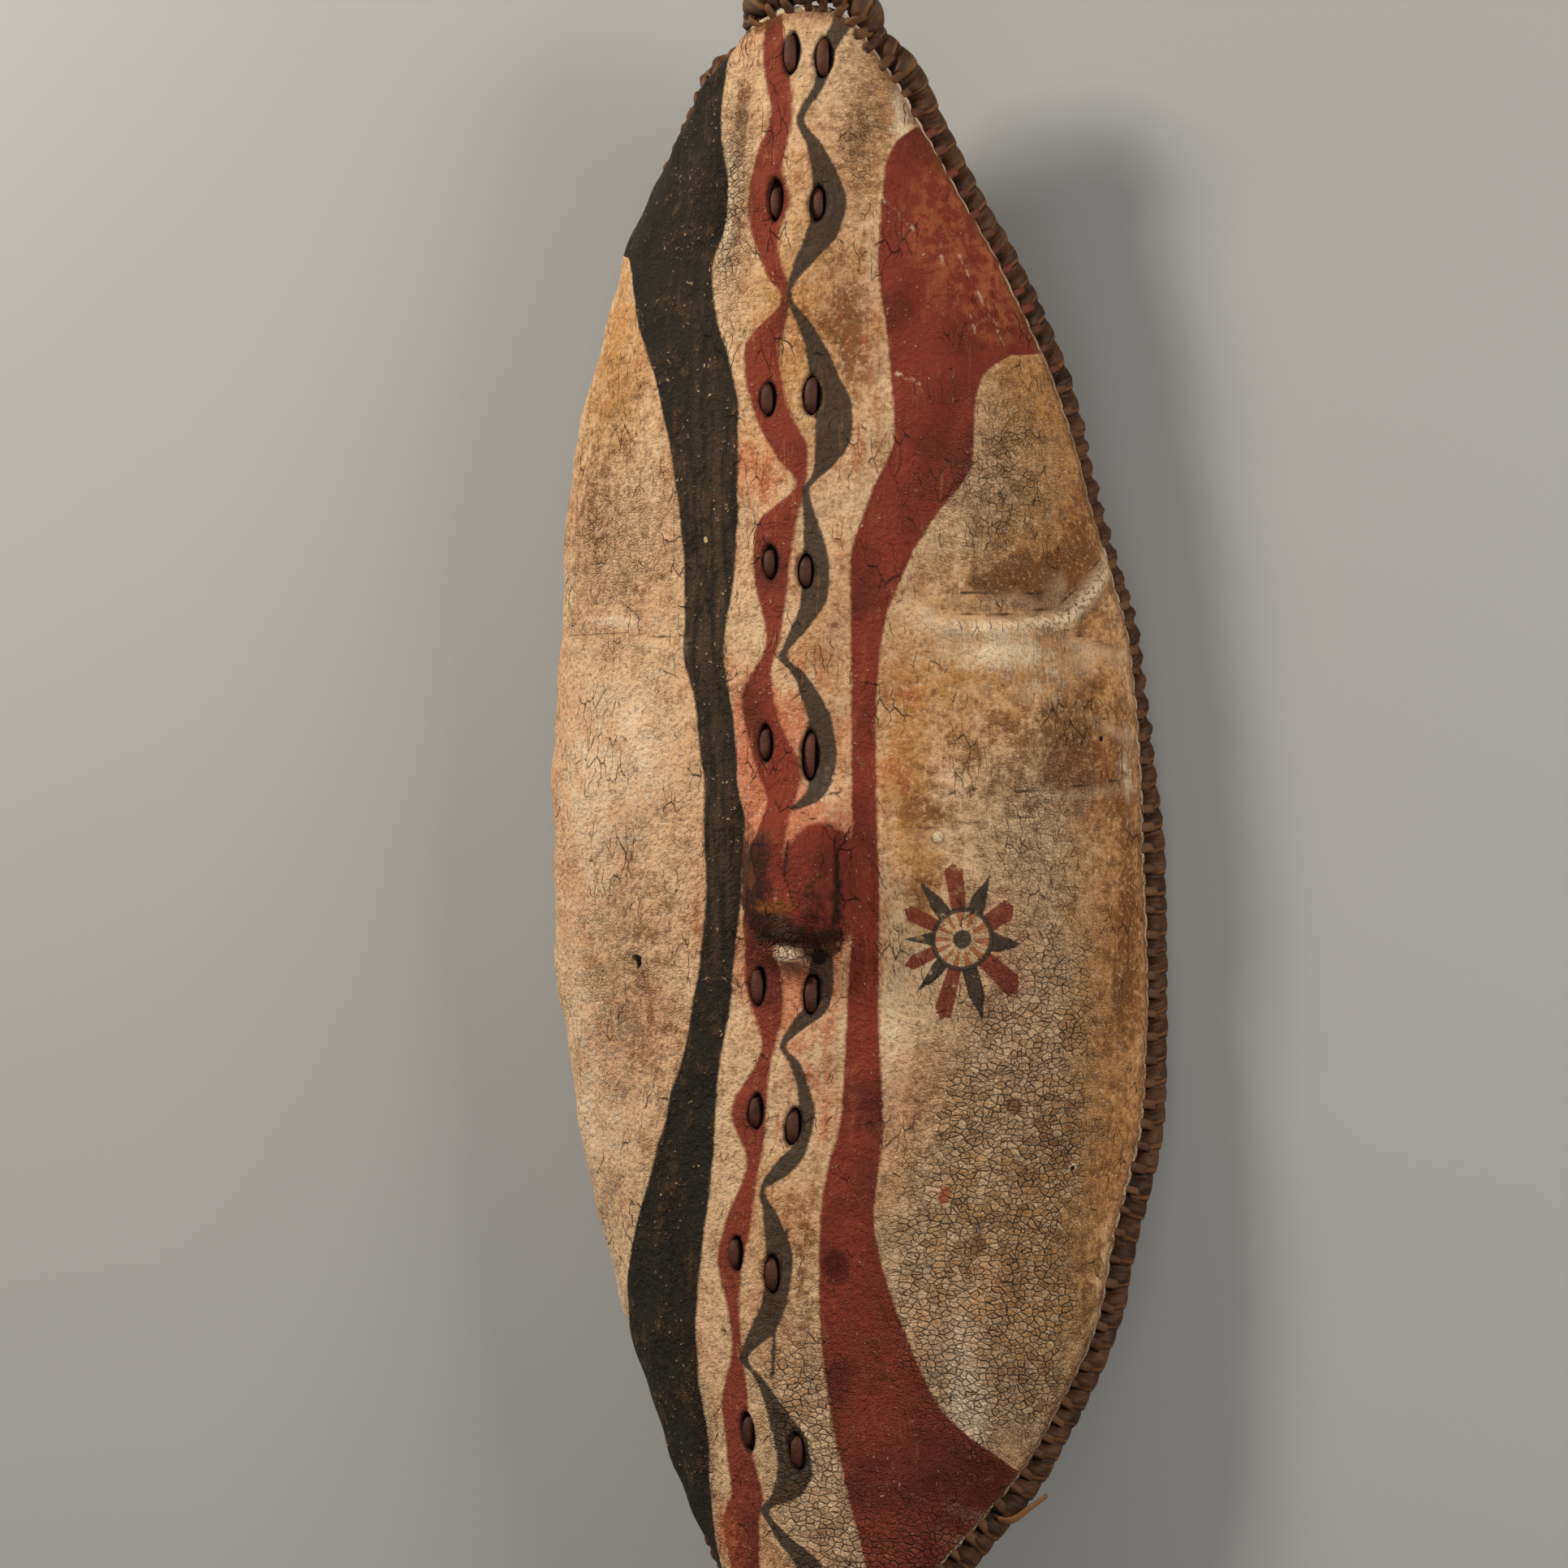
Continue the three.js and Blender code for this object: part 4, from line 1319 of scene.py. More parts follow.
@dataclass
class Hide:
    """The painted sheet with its slots, folds, boss and scalloped edge."""

    form: HideForm
    lacing: Lacing
    stitches: list[tuple[int, float]]
    columns: int = 68
    rows: int = 318
    centre_share: float = 0.30
    notch: float = 3.0
    notch_half: float = 3.4
    slot_lip: float = 0.9
    slot_sink: float = 0.8
    hole_deep: float = 3.5
    plug_proud: float = 0.8
    waves: tuple[tuple[float, float, int, float], ...] = (
        (160, 45, 26, 0.0035), (44, 20, 30, 0.0052))

    def grid(self) -> tuple[np.ndarray, np.ndarray]:
        """Parts across and stations along, closer together near the ridge.

        Returns:
            Two arrays of rows by columns.
        """
        c = np.linspace(0, 1, self.columns)
        half = c * (self.centre_share + (1 - self.centre_share) * c ** 1.2)
        part = np.concatenate([-half[:0:-1], half])
        station = np.linspace(self.form.foot, self.form.top, self.rows)
        part, station = np.meshgrid(part, station)
        return part.copy(), station.copy()

    def cut_slots(self, part: np.ndarray, station: np.ndarray) -> np.ndarray:
        """Moves grid points onto the slot outlines.

        Args:
            part: parts across, changed in place.
            station: stations along, changed in place.

        Returns:
            Mask of the cells that fall inside a slot.
        """
        gone = np.zeros((part.shape[0] - 1, part.shape[1] - 1), bool)
        girth = self.form.girth(part, station)
        for slot in (s for pair in self.lacing.slots() for s in pair):
            u = (part * girth - slot.across) / (slot.wide / 2)
            v = (station - slot.station) / (slot.long / 2)
            cu = (u[1:, 1:] + u[1:, :-1] + u[:-1, 1:] + u[:-1, :-1]) / 4
            cv = (v[1:, 1:] + v[1:, :-1] + v[:-1, 1:] + v[:-1, :-1]) / 4
            cell = cu ** 2 + cv ** 2 < 1
            touched = np.zeros(part.shape, bool)
            kept = np.zeros(part.shape, bool)
            for di in (0, 1):
                for dj in (0, 1):
                    window = (slice(di, di + cell.shape[0]), slice(dj, dj + cell.shape[1]))
                    touched[window] |= cell
                    kept[window] |= ~cell
            rim = touched & kept
            size = np.hypot(u[rim], v[rim])
            station[rim] = slot.station + v[rim] / size * slot.long / 2
            part[rim] = (slot.across + u[rim] / size * slot.wide / 2) / self.form.girth(
                part[rim], station[rim])
            gone |= cell
        return gone

    def slot_gap(self, station: np.ndarray, across: np.ndarray) -> np.ndarray:
        """Rough distance to the nearest slot's edge.

        Args:
            station: stations of the points.
            across: distances of the points from the ridge.

        Returns:
            The distance, negative inside a slot.
        """
        best = np.full(station.shape, 99.0)
        for slot in (s for pair in self.lacing.slots() for s in pair):
            u = (across - slot.across) / (slot.wide / 2)
            v = (station - slot.station) / (slot.long / 2)
            size = np.maximum(np.hypot(u, v), 1e-6)
            reach = np.hypot(across - slot.across, station - slot.station)
            best = np.minimum(best, reach * (1 - 1 / size))
        return best

    def edge_notch(self, part: np.ndarray, station: np.ndarray) -> np.ndarray:
        """How far the edge is pulled in beside each stitch.

        Args:
            part: parts across.
            station: stations along.

        Returns:
            The pull in millimetres for each point.
        """
        pull = np.zeros(station.shape)
        for side in (-1, 1):
            at = np.sort([s for k, s in self.stitches if k == side])
            near = np.abs(station[..., None] - at[None, None]).min(-1) if len(at) else 99
            here = np.sign(part) == side
            pull = np.where(here, self.notch * np.exp(-(near / self.notch_half) ** 2), pull)
        return pull

    def relief(self, station: np.ndarray, across: np.ndarray,
               slot_gap: np.ndarray) -> tuple[np.ndarray, dict[str, np.ndarray]]:
        """Height of folds, the knuckle, slot lips and slow waves on the painted face.

        Args:
            station: stations of the points.
            across: distances of the points from the ridge.
            slot_gap: distances to the nearest slot.

        Returns:
            The height, and the crease values that the finish reads for the painted shade in the
            creases and the painted highlight on their lips.
        """
        places = np.stack([station, across], -1)
        lift = KNUCKLE.weight(station, across)
        gap = np.full(station.shape, 30.0)
        crease, lips = np.zeros(station.shape), np.zeros(station.shape)
        # crease carries how strong the painted shade in each crease is, lip the painted highlight on
        # its lip.
        for fold in FOLDS:
            height, far, lip = fold.lift(places)
            lift = lift + height
            lips = np.maximum(lips, lip)
            if fold.depth > 0:
                gap = np.minimum(gap, far)
                strength = min(1.2, 0.45 + fold.depth / 4)
                crease = np.maximum(crease, strength * np.exp(-(far / 9) ** 2))
        lift = lift + self.slot_lip * np.exp(-((slot_gap - 3.5) / 2.2) ** 2)
        lift = lift - self.slot_sink * np.exp(-(slot_gap / 1.6) ** 2)
        lift = lift - self.hole_deep * smoothstep(0.35, 0.8, PUNCTURE.weight(station, across))
        lift = lift + self.plug_proud * smoothstep(0.3, 0.5, PLUG.weight(station, across))
        dice = np.random.default_rng(SEED)
        for longest, shortest, count, slope in self.waves:
            for _ in range(count):
                length = dice.uniform(shortest, longest)
                way = dice.uniform(0, math.pi)
                phase = dice.uniform(0, 2 * math.pi)
                along = station * math.sin(way) * 0.7 + across * math.cos(way)
                lift = lift + slope * length * np.sin(along * 2 * math.pi / length + phase)
        return lift, {"crease_gap": gap, "crease": crease, "lip": lips}

    def build(self, face: bpy.types.Material, flesh: bpy.types.Material) -> bpy.types.Object:
        """Makes the hide.

        Args:
            face: finish of the painted face and the edge.
            flesh: finish of the back.

        Returns:
            The hide object.
        """
        part, station = self.grid()
        gone = self.cut_slots(part, station)
        rows, wide = part.shape
        girth = self.form.girth(part, station)
        across = part * girth
        pull = self.edge_notch(part, station) * smoothstep(0.93, 1.0, np.abs(part))
        shown = np.sign(part) * (np.abs(part) - pull / girth)
        slot_gap = self.slot_gap(station, across)
        lift, creases = self.relief(station, across, slot_gap)
        calm = smoothstep(0, 14, girth * (1 - np.abs(part)))
        middle, normal = self.form.middle(shown, station), self.form.normal(part, station)
        half = self.form.thick / 2
        front = middle + normal * (half - 0.6 * (1 - calm) + lift * (0.25 + 0.75 * calm))[..., None]
        back = middle + normal * (-half + 0.75 * np.clip(lift, -2, 2) * calm)[..., None]

        count = rows * wide
        index = np.arange(count).reshape(rows, wide)
        a, b, c, d = index[:-1, :-1], index[:-1, 1:], index[1:, 1:], index[1:, :-1]
        keep = ~gone
        cells = np.stack([a[keep], b[keep], c[keep], d[keep]], -1)
        under = cells[:, ::-1] + count
        faces = [tuple(q) for q in np.concatenate([cells, under]).tolist()]
        edges: dict[tuple[int, int], int] = {}
        for quad in cells.tolist():
            for start, end in zip(quad, quad[1:] + quad[:1]):
                if (end, start) in edges:
                    del edges[(end, start)]
                else:
                    edges[(start, end)] = 1
        walls = [(end, start, start + count, end + count) for start, end in edges]
        paint = {**self.paint(station, across), **creases}
        paint["edge_gap"] = np.minimum(girth * (1 - np.abs(part)), np.minimum(
            self.form.top - station, station - self.form.foot))
        paint["slot_gap"] = slot_gap
        paint["flat"] = np.stack([across, station, 0 * station], -1)
        used = np.zeros(2 * count, bool)
        used[np.array(faces + walls).ravel()] = True
        new = np.cumsum(used) - 1
        faces = [tuple(new[list(q)].tolist()) for q in faces + walls]
        points = np.concatenate([front.reshape(-1, 3), back.reshape(-1, 3)])[used]
        values = {}
        for key, value in paint.items():
            flat = value.reshape(count, -1)
            both = np.concatenate([flat, flat])[used]
            values[key] = both if both.shape[1] == 3 else both[:, 0]
        skin = Skin(points, faces, values)
        piece = skin.make("painted_hide", face, "rawhide", ("hide",))
        piece.data.materials.append(flesh)
        material = np.zeros(len(faces), np.int32)
        material[len(cells):2 * len(cells)] = 1
        piece.data.polygons.foreach_set("material_index", material)
        return piece

    def paint(self, station: np.ndarray, across: np.ndarray) -> dict[str, np.ndarray]:
        """Per-point distances of the painted bands and strengths of the wear patches.

        Args:
            station: stations of the points.
            across: distances of the points from the ridge.

        Returns:
            The values that the finish reads, by attribute name.
        """
        drip = 1.4 - line_distance(np.stack([station, across], -1), np.array(DRIP, float))[0]
        strands = [band.inside(station, across) for band in BLACK_STRANDS]
        values = {
            "black_band": BLACK_BAND.inside(station, across),
            "red_band": RED_BAND.inside(station, across),
            "red_strand": RED_STRAND.inside(station, across),
            "black_strand": np.maximum.reduce([*strands, drip]),
        }
        # Red paint also covers the knuckle, inside an oval.
        knuckle = 1 - np.hypot((station + 3) / 38, (across - 26) / 24) ** 2
        values["red_band"] = np.maximum(values["red_band"], 12 * knuckle)
        places = np.stack([station, across], -1)
        values["scratch_gap"] = np.minimum.reduce(
            [line_distance(places, np.array(line, float))[0] for line in SCRATCHES])
        for wear, patches in PATCHES.items():
            values[wear.value] = sum(p.weight(station, across) for p in patches)
        return values


# ------------------------------------------------------------------ edge roll and sewing

@dataclass
class EdgeRoll:
    """The roll round the edge, wound with a leather strip."""

    form: HideForm
    radius: float = 10
    gap: float = 2.8
    pitch: float = 14.2
    step: float = 1.7
    sides: int = 26
    lap: float = 1.5
    under_lap: float = 0.9
    belly: float = 0.5
    uneven: float = 0.45
    gathered: float = 4.4
    waist: float = 2.4
    sewn_angle: float = 146
    width_spread: float = 0.16
    twine: Stations = ((2.2, 41.0), (1.5, 17.3))
    tucked_right: Stations = ((20, 0), (110, 26), (240, 30), (330, 8), (380, 0))
    tucked_left: Stations = (
        (-490, 0), (-450, 34), (-360, 34), (-320, 0), (360, 0), (400, 34), (500, 34), (535, 0))

    def rim(self) -> dict[str, np.ndarray]:
        """Closed line round the hide's edge with its outward direction and its station.

        Returns:
            Centre of the roll, outward direction, part, station and run along the line at
            even steps, and the line's whole length.
        """
        rows = np.arange(self.form.foot, self.form.top + 0.1, 3.0)
        rows[-1] = self.form.top
        parts = np.linspace(-1, 1, 41)
        runs = [(np.ones_like(rows), rows), (parts[::-1], np.full(41, self.form.top)),
                (-np.ones_like(rows), rows[::-1]), (parts, np.full(41, self.form.foot))]
        made = []
        for part, station in runs:
            point = self.form.middle(part, station)
            along = unit(np.gradient(point, axis=0))
            normal = self.form.normal(part, station)
            out = unit(np.cross(along, normal))
            tuck = np.where(part > 0.999, through(self.tucked_right, station), 0)
            tuck = np.where(part < -0.999, through(self.tucked_left, station), tuck)
            turn = np.radians(tuck)[:, None]
            out = out * np.cos(turn) - normal * np.sin(turn)
            made.append((point, out, part, station))
        pieces = []
        for i, (point, out, part, station) in enumerate(made):
            following = made[(i + 1) % 4][1][0]
            turn = np.linspace(0, 1, 9)[1:-1, None]
            corner = unit(out[-1] * (1 - turn) + following * turn)
            pieces.append((
                np.concatenate([point, np.repeat(point[-1:], 7, 0)]),
                np.concatenate([out, corner]),
                np.r_[part, np.repeat(part[-1], 7)], np.r_[station, np.repeat(station[-1], 7)]))
        point, out, part, station = (np.concatenate(group) for group in zip(*pieces))
        centre = point + out * (self.radius + self.gap)
        apart = np.linalg.norm(np.roll(centre, -1, 0) - centre, axis=1)
        keep = apart > 0.05
        centre, out, part, station = centre[keep], out[keep], part[keep], station[keep]
        length = np.r_[0, np.cumsum(np.linalg.norm(np.roll(centre, -1, 0) - centre, axis=1))]
        count = int(length[-1] / self.step)
        at = np.arange(count) * length[-1] / count
        read = {}
        for key, value in (("centre", centre), ("out", out), ("part", part), ("station", station)):
            value = value.reshape(len(value), -1)
            ring = np.concatenate([value, value[:1]])
            line = np.stack([np.interp(at, length, ring[:, k]) for k in range(ring.shape[1])], -1)
            if key in ("centre", "out"):
                soft = np.hanning(9)[1:-1]
                soft /= soft.sum()
                line = sum(w * np.roll(line, k - 3, 0) for k, w in enumerate(soft))
            read[key] = line if line.shape[1] > 1 else line[:, 0]
        read["at"] = at
        read["length"] = np.array(length[-1])
        return read

    def frames(self, rim: dict[str, np.ndarray]) -> tuple[np.ndarray, np.ndarray, np.ndarray]:
        """Tangent, outward and upward directions along the roll.

        Args:
            rim: the line from rim().

        Returns:
            The three directions at each step.
        """
        centre = rim["centre"]
        tangent = unit(np.roll(centre, -1, 0) - np.roll(centre, 1, 0))
        out = rim["out"]
        out = unit(out - (out * tangent).sum(-1, keepdims=True) * tangent)
        return tangent, out, np.cross(out, tangent)

    def turns(self, length: float) -> np.ndarray:
        """Where each turn of the strip starts, along the roll.

        Args:
            length: length of the roll.

        Returns:
            The starts, from 0 to the length.
        """
        count = round(length / self.pitch)
        dice = np.random.default_rng(SEED + 1)
        width = 1 + self.width_spread * dice.uniform(-1, 1, count)
        return np.r_[0, np.cumsum(width)] * length / width.sum()

    def build(self, rim: dict[str, np.ndarray], leather: bpy.types.Material) -> bpy.types.Object:
        """Makes the wound roll.

        Args:
            rim: the line from rim().
            leather: its finish.

        Returns:
            The roll object.
        """
        tangent, out, up = self.frames(rim)
        length = float(rim["length"])
        starts = self.turns(length)
        dice = np.random.default_rng(SEED + 2)
        tone = dice.uniform(0, 1, len(starts))
        swell = dice.uniform(-0.5, 0.7, len(starts))
        slant = dice.uniform(-0.9, 0.9, len(starts))
        angle = np.linspace(-math.pi, math.pi, self.sides, endpoint=False)
        at, around = np.meshgrid(rim["at"], angle, indexing="ij")
        wander = sum(far * np.sin(at / wave + 1.3 * k) for k, (far, wave) in enumerate(self.twine))
        along = (at + (self.pitch / (2 * math.pi)) * around + wander * np.sin(around)) % length
        turn = np.clip(np.searchsorted(starts, along, side="right") - 1, 0, len(starts) - 2)
        phase = (along - starts[turn]) / (starts[turn + 1] - starts[turn])
        phase = np.clip(phase + 0.05 * slant[turn] * np.sin(2 * around), 0, 1)
        facing_hide = np.clip(np.cos(around - math.radians(self.sewn_angle)), 0, 1) ** 2
        gather = np.sin(math.pi * phase) ** 1.3 * (1 + 0.35 * swell[turn])
        radius = self.radius - self.under_lap + self.lap * (1 - phase) ** 0.8
        radius += self.belly * np.sin(math.pi * phase) + self.uneven * swell[turn]
        radius += facing_hide * (self.gathered * gather - self.waist)
        radius += facing_hide * 0.5 * np.sin(phase * 19 + turn)
        radius += 0.25 * np.sin(around * 5 + at / 6.0)
        points = (rim["centre"][:, None] + out[:, None] * (radius * np.cos(around))[..., None]
                  + up[:, None] * (radius * np.sin(around))[..., None])
        points[..., 2] = np.maximum(points[..., 2], 0)
        seam = np.exp(-(phase / 0.07) ** 2) + np.exp(-((1 - phase) / 0.05) ** 2)
        lip = np.exp(-((phase - 0.14) / 0.1) ** 2)
        wound = np.stack([phase * self.pitch, around * self.radius + 97.0 * turn, 0 * phase], -1)
        values = {"seam": seam.ravel(), "lip": lip.ravel(), "shade": tone[turn].ravel(),
                  "wound": wound.reshape(-1, 3)}
        faces = sweep_faces(len(at), self.sides, True)
        faces = [face[::-1] for face in faces]
        return Skin(points.reshape(-1, 3), faces, values).make(
            "edge_winding", leather, "roll_leather", ("edge_binding",))


STRAP_SIDES = 10


def strap(path: np.ndarray, across: np.ndarray, wide: float | np.ndarray, thick: float,
          looped: bool, sides: int = STRAP_SIDES, square: float = 0.55) -> Skin:
    """A strap with rounded edges along a path.

    Args:
        path: points along its middle.
        across: direction of its width at each point.
        wide: its width, or its width at each point.
        thick: its thickness.
        looped: whether the end joins the beginning.
        sides: points round its section.
        square: 1 for a round section, and less for a squarer one.

    Returns:
        The strap's skin, with a value "deep" of 0 for each point.
    """
    if looped:
        tangent = unit(np.roll(path, -1, 0) - np.roll(path, 1, 0))
    else:
        tangent = unit(np.gradient(path, axis=0))
    across = unit(across - (across * tangent).sum(-1, keepdims=True) * tangent)
    normal = np.cross(tangent, across)
    angle = np.linspace(0, 2 * math.pi, sides, endpoint=False)
    u = np.sign(np.cos(angle)) * np.abs(np.cos(angle)) ** square / 2
    v = np.sign(np.sin(angle)) * np.abs(np.sin(angle)) ** (square * 0.6 + 0.4) * thick / 2
    u = np.broadcast_to(wide, len(path))[:, None] * u
    rings = path[:, None] + across[:, None] * u[..., None] + normal[:, None] * v[None, :, None]
    faces = sweep_faces(len(path), sides, looped)
    return Skin(rings.reshape(-1, 3), faces, {"deep": np.zeros(rings.shape[0] * sides)})


def rounded(corners: np.ndarray, looped: bool, per_span: int = 6) -> np.ndarray:
    """Catmull-Rom curve through corners, of any number of columns.

    Args:
        corners: array (n, columns).
        looped: whether the last corner joins the first.
        per_span: points made for each span.

    Returns:
        The points of the curve.
    """
    n = len(corners)
    made = []
    for i in range(n if looped else n - 1):
        if looped:
            p = [corners[(i + k) % n] for k in (-1, 0, 1, 2)]
        else:
            p = [corners[min(max(i + k, 0), n - 1)] for k in (-1, 0, 1, 2)]
        for u in np.arange(per_span) / per_span:
            made.append(0.5 * (2 * p[1] + (p[2] - p[0]) * u
                               + (2 * p[0] - 5 * p[1] + 4 * p[2] - p[3]) * u * u
                               + (3 * p[1] - p[0] - 3 * p[2] + p[3]) * u ** 3))
    if not looped:
        made.append(corners[-1])
    return np.array(made)


@dataclass
class EdgeSewing:
    """Thong loops that sew the roll to the hide, one at each turn, and the loose end."""

    roll: EdgeRoll
    wide: float = 5.8
    thick: float = 3.4
    inset: float = 2.2
    sizes: Place = (0.85, 1.25)
    lean_most: float = 1.8
    angles: Place = (138, 152)
    bite_radius: float = 8.4
    heights: Place = (1.8, 3.2)
    painted_from: tuple[float, float, float, float] = (300, 350, 470, 520)
    tail_station: float = -405
    tail_wide: float = 8.5
    tail_thick: float = 2.6
    tail_tip: float = 0.45

    def places(self, rim: dict[str, np.ndarray]) -> np.ndarray:
        """Indices along the rim where a loop crosses the gap.

        Args:
            rim: the line from EdgeRoll.rim().

        Returns:
            One index for each turn of the strip.
        """
        starts = self.roll.turns(float(rim["length"]))[:-1]
        ahead = starts - self.roll.pitch * (140 / 360) + 1.5
        return np.searchsorted(rim["at"], ahead % float(rim["length"])) % len(rim["at"])

    def stitches(self, rim: dict[str, np.ndarray]) -> list[tuple[int, float]]:
        """Side and station of each loop that crosses a long edge of the hide.

        Args:
            rim: the line from EdgeRoll.rim().

        Returns:
            Pairs of a side, -1 or 1, and a station.
        """
        found = self.places(rim)
        return [(int(np.sign(rim["part"][i])), float(rim["station"][i]))
                for i in found if abs(rim["part"][i]) > 0.999]

    def build(self, rim: dict[str, np.ndarray], leather: bpy.types.Material) -> bpy.types.Object:
        """Makes all loops as one piece of sewing.

        Args:
            rim: the line from EdgeRoll.rim().
            leather: its finish.

        Returns:
            The sewing object.
        """
        form = self.roll.form
        tangent, out, up = self.roll.frames(rim)
        dice = np.random.default_rng(SEED + 3)
        first, full, fading, end = self.painted_from
        skins = []
        for i in self.places(rim):
            part, station = float(rim["part"][i]), float(rim["station"][i])
            centre, o, n, t = rim["centre"][i], out[i], up[i], tangent[i]
            edge = centre - o * (self.roll.radius + self.roll.gap)
            size = dice.uniform(*self.sizes)
            lean = t * dice.uniform(-self.lean_most, self.lean_most)
            on_roll = math.radians(dice.uniform(*self.angles))
            start = centre + (o * math.cos(on_roll) + n * math.sin(on_roll)) * self.bite_radius
            top = dice.uniform(*self.heights)
            corners = np.array([
                start + lean - n * 4.5 + o * 1.5,
                start + lean * 0.7 + n * 0.4,
                start * 0.5 + edge * 0.5 + lean * 0.3 + n * top,
                edge + n * top * 0.9,
                edge - o * self.inset + n * 0.4,
                edge - o * (self.inset + 0.6) - n * 3.0])
            path = rounded(corners, False, 4)
            skin = strap(path, np.repeat((t + o * dice.uniform(-0.2, 0.2))[None], len(path), 0),
                         self.wide * size, self.thick * size, False)
            count = len(skin.points)
            reddish = float(smoothstep(first, full, np.array(station))
                            * smoothstep(end, fading, np.array(station))) * (part > 0)
            skin.values["painted"] = np.full(count, reddish * dice.uniform(0.3, 1.0))
            skin.values["shade"] = np.full(count, dice.uniform(0, 0.7) * (1 - 0.8 * reddish))
            rank = np.repeat(np.arange(len(path)), STRAP_SIDES) / (len(path) - 1)
            # Painted shade at both ends of the loop, where it goes into the roll and under the hide.
            skin.values["deep"] = smoothstep(0.16, 0.0, rank) + smoothstep(0.8, 1.0, rank)
            skins.append(skin)
        skins.append(self.loose_end(rim, tangent, out, up))
        return Skin.joined(skins).make("edge_sewing", leather, "thong_leather")

    def loose_end(self, rim: dict[str, np.ndarray], tangent: np.ndarray, out: np.ndarray,
                  up: np.ndarray) -> Skin:
        """The tapered tail of the strip at the lower right.

        Args:
            rim: the line from EdgeRoll.rim().
            tangent: directions along the roll.
            out: outward directions.
            up: upward directions.

        Returns:
            The tail's skin.
        """
        right = np.where(rim["part"] > 0.999)[0]
        i = right[np.argmin(np.abs(rim["station"][right] - self.tail_station))]
        centre, o, n, t = rim["centre"][i], out[i], up[i], tangent[i]
        corners = np.array([
            centre - t * 10 - o * 9 + n * 6, centre - t * 4 - o * 5 + n * 12.5,
            centre + t * 10 + n * 14, centre + t * 24 + o * 7 + n * 14])
        path = rounded(corners, False, 6)
        flat = np.repeat((o * 0.95 + n * 0.1)[None], len(path), 0)
        skin = strap(path, flat, self.tail_wide, self.tail_thick, False)
        rings = skin.points.reshape(len(path), STRAP_SIDES, 3)
        taper = np.linspace(1, self.tail_tip, len(path))[:, None, None]
        skin.points = (path[:, None] + (rings - path[:, None]) * taper).reshape(-1, 3)
        count = len(skin.points)
        skin.values["painted"] = np.full(count, 0.0)
        skin.values["shade"] = np.full(count, 1.6)
        return skin


# ------------------------------------------------------------------ stave and lashings

@dataclass
class Stave:
    """The whittled stave behind the ridge, dropped behind the boss as a grip."""

    form: HideForm
    top: float = 554
    foot: float = -489
    offset: float = -0.8
    clear: float = 2.2
    deep: float = 15
    dip: float = 12
    grip_half: float = 45

    def upper(self, station: np.ndarray) -> np.ndarray:
        """Height of the stave's upper face."""
        dip = self.dip * (1 - smoothstep(24, self.grip_half, np.abs(station + 2)))
        return through(self.form.ridge_height, station) - self.form.thick / 2 - self.clear - dip

    def build(self, wood: bpy.types.Material) -> bpy.types.Object:
        """Makes the stave with whittled, slightly uneven flats.

        Args:
            wood: its finish.

        Returns:
            The stave object.
        """
        station = np.arange(self.foot, self.top, 5.0)
        outline = np.array([(-3.6, 0), (0, 0.2), (3.6, 0), (6.2, -1.2), (7.4, -3.6), (7.5, -8),
                            (7.3, -12.2), (5.6, -14.6), (0, -15), (-5.6, -14.6), (-7.3, -12.2),
                            (-7.5, -8), (-7.4, -3.6), (-6.2, -1.2)])
        dice = np.random.default_rng(SEED + 4)
        knots = np.linspace(self.foot, self.top, 34)
        uneven = np.stack([np.interp(station, knots, dice.uniform(0.93, 1.0, 34))
                           for _ in outline], -1)
        x = through(self.form.ridge_drift, station) + self.offset
        z = self.upper(station) - self.deep / 2
        points = np.empty((len(station), len(outline), 3))
        points[..., 0] = x[:, None] + outline[:, 0] * uneven
        points[..., 1] = station[:, None]
        points[..., 2] = z[:, None] + (outline[:, 1] + self.deep / 2) * uneven
        faces = sweep_faces(len(station), len(outline), False)
        return Skin(points.reshape(-1, 3), faces).make(
            "whittled_stave", wood, "stave_wood", ("stave",))


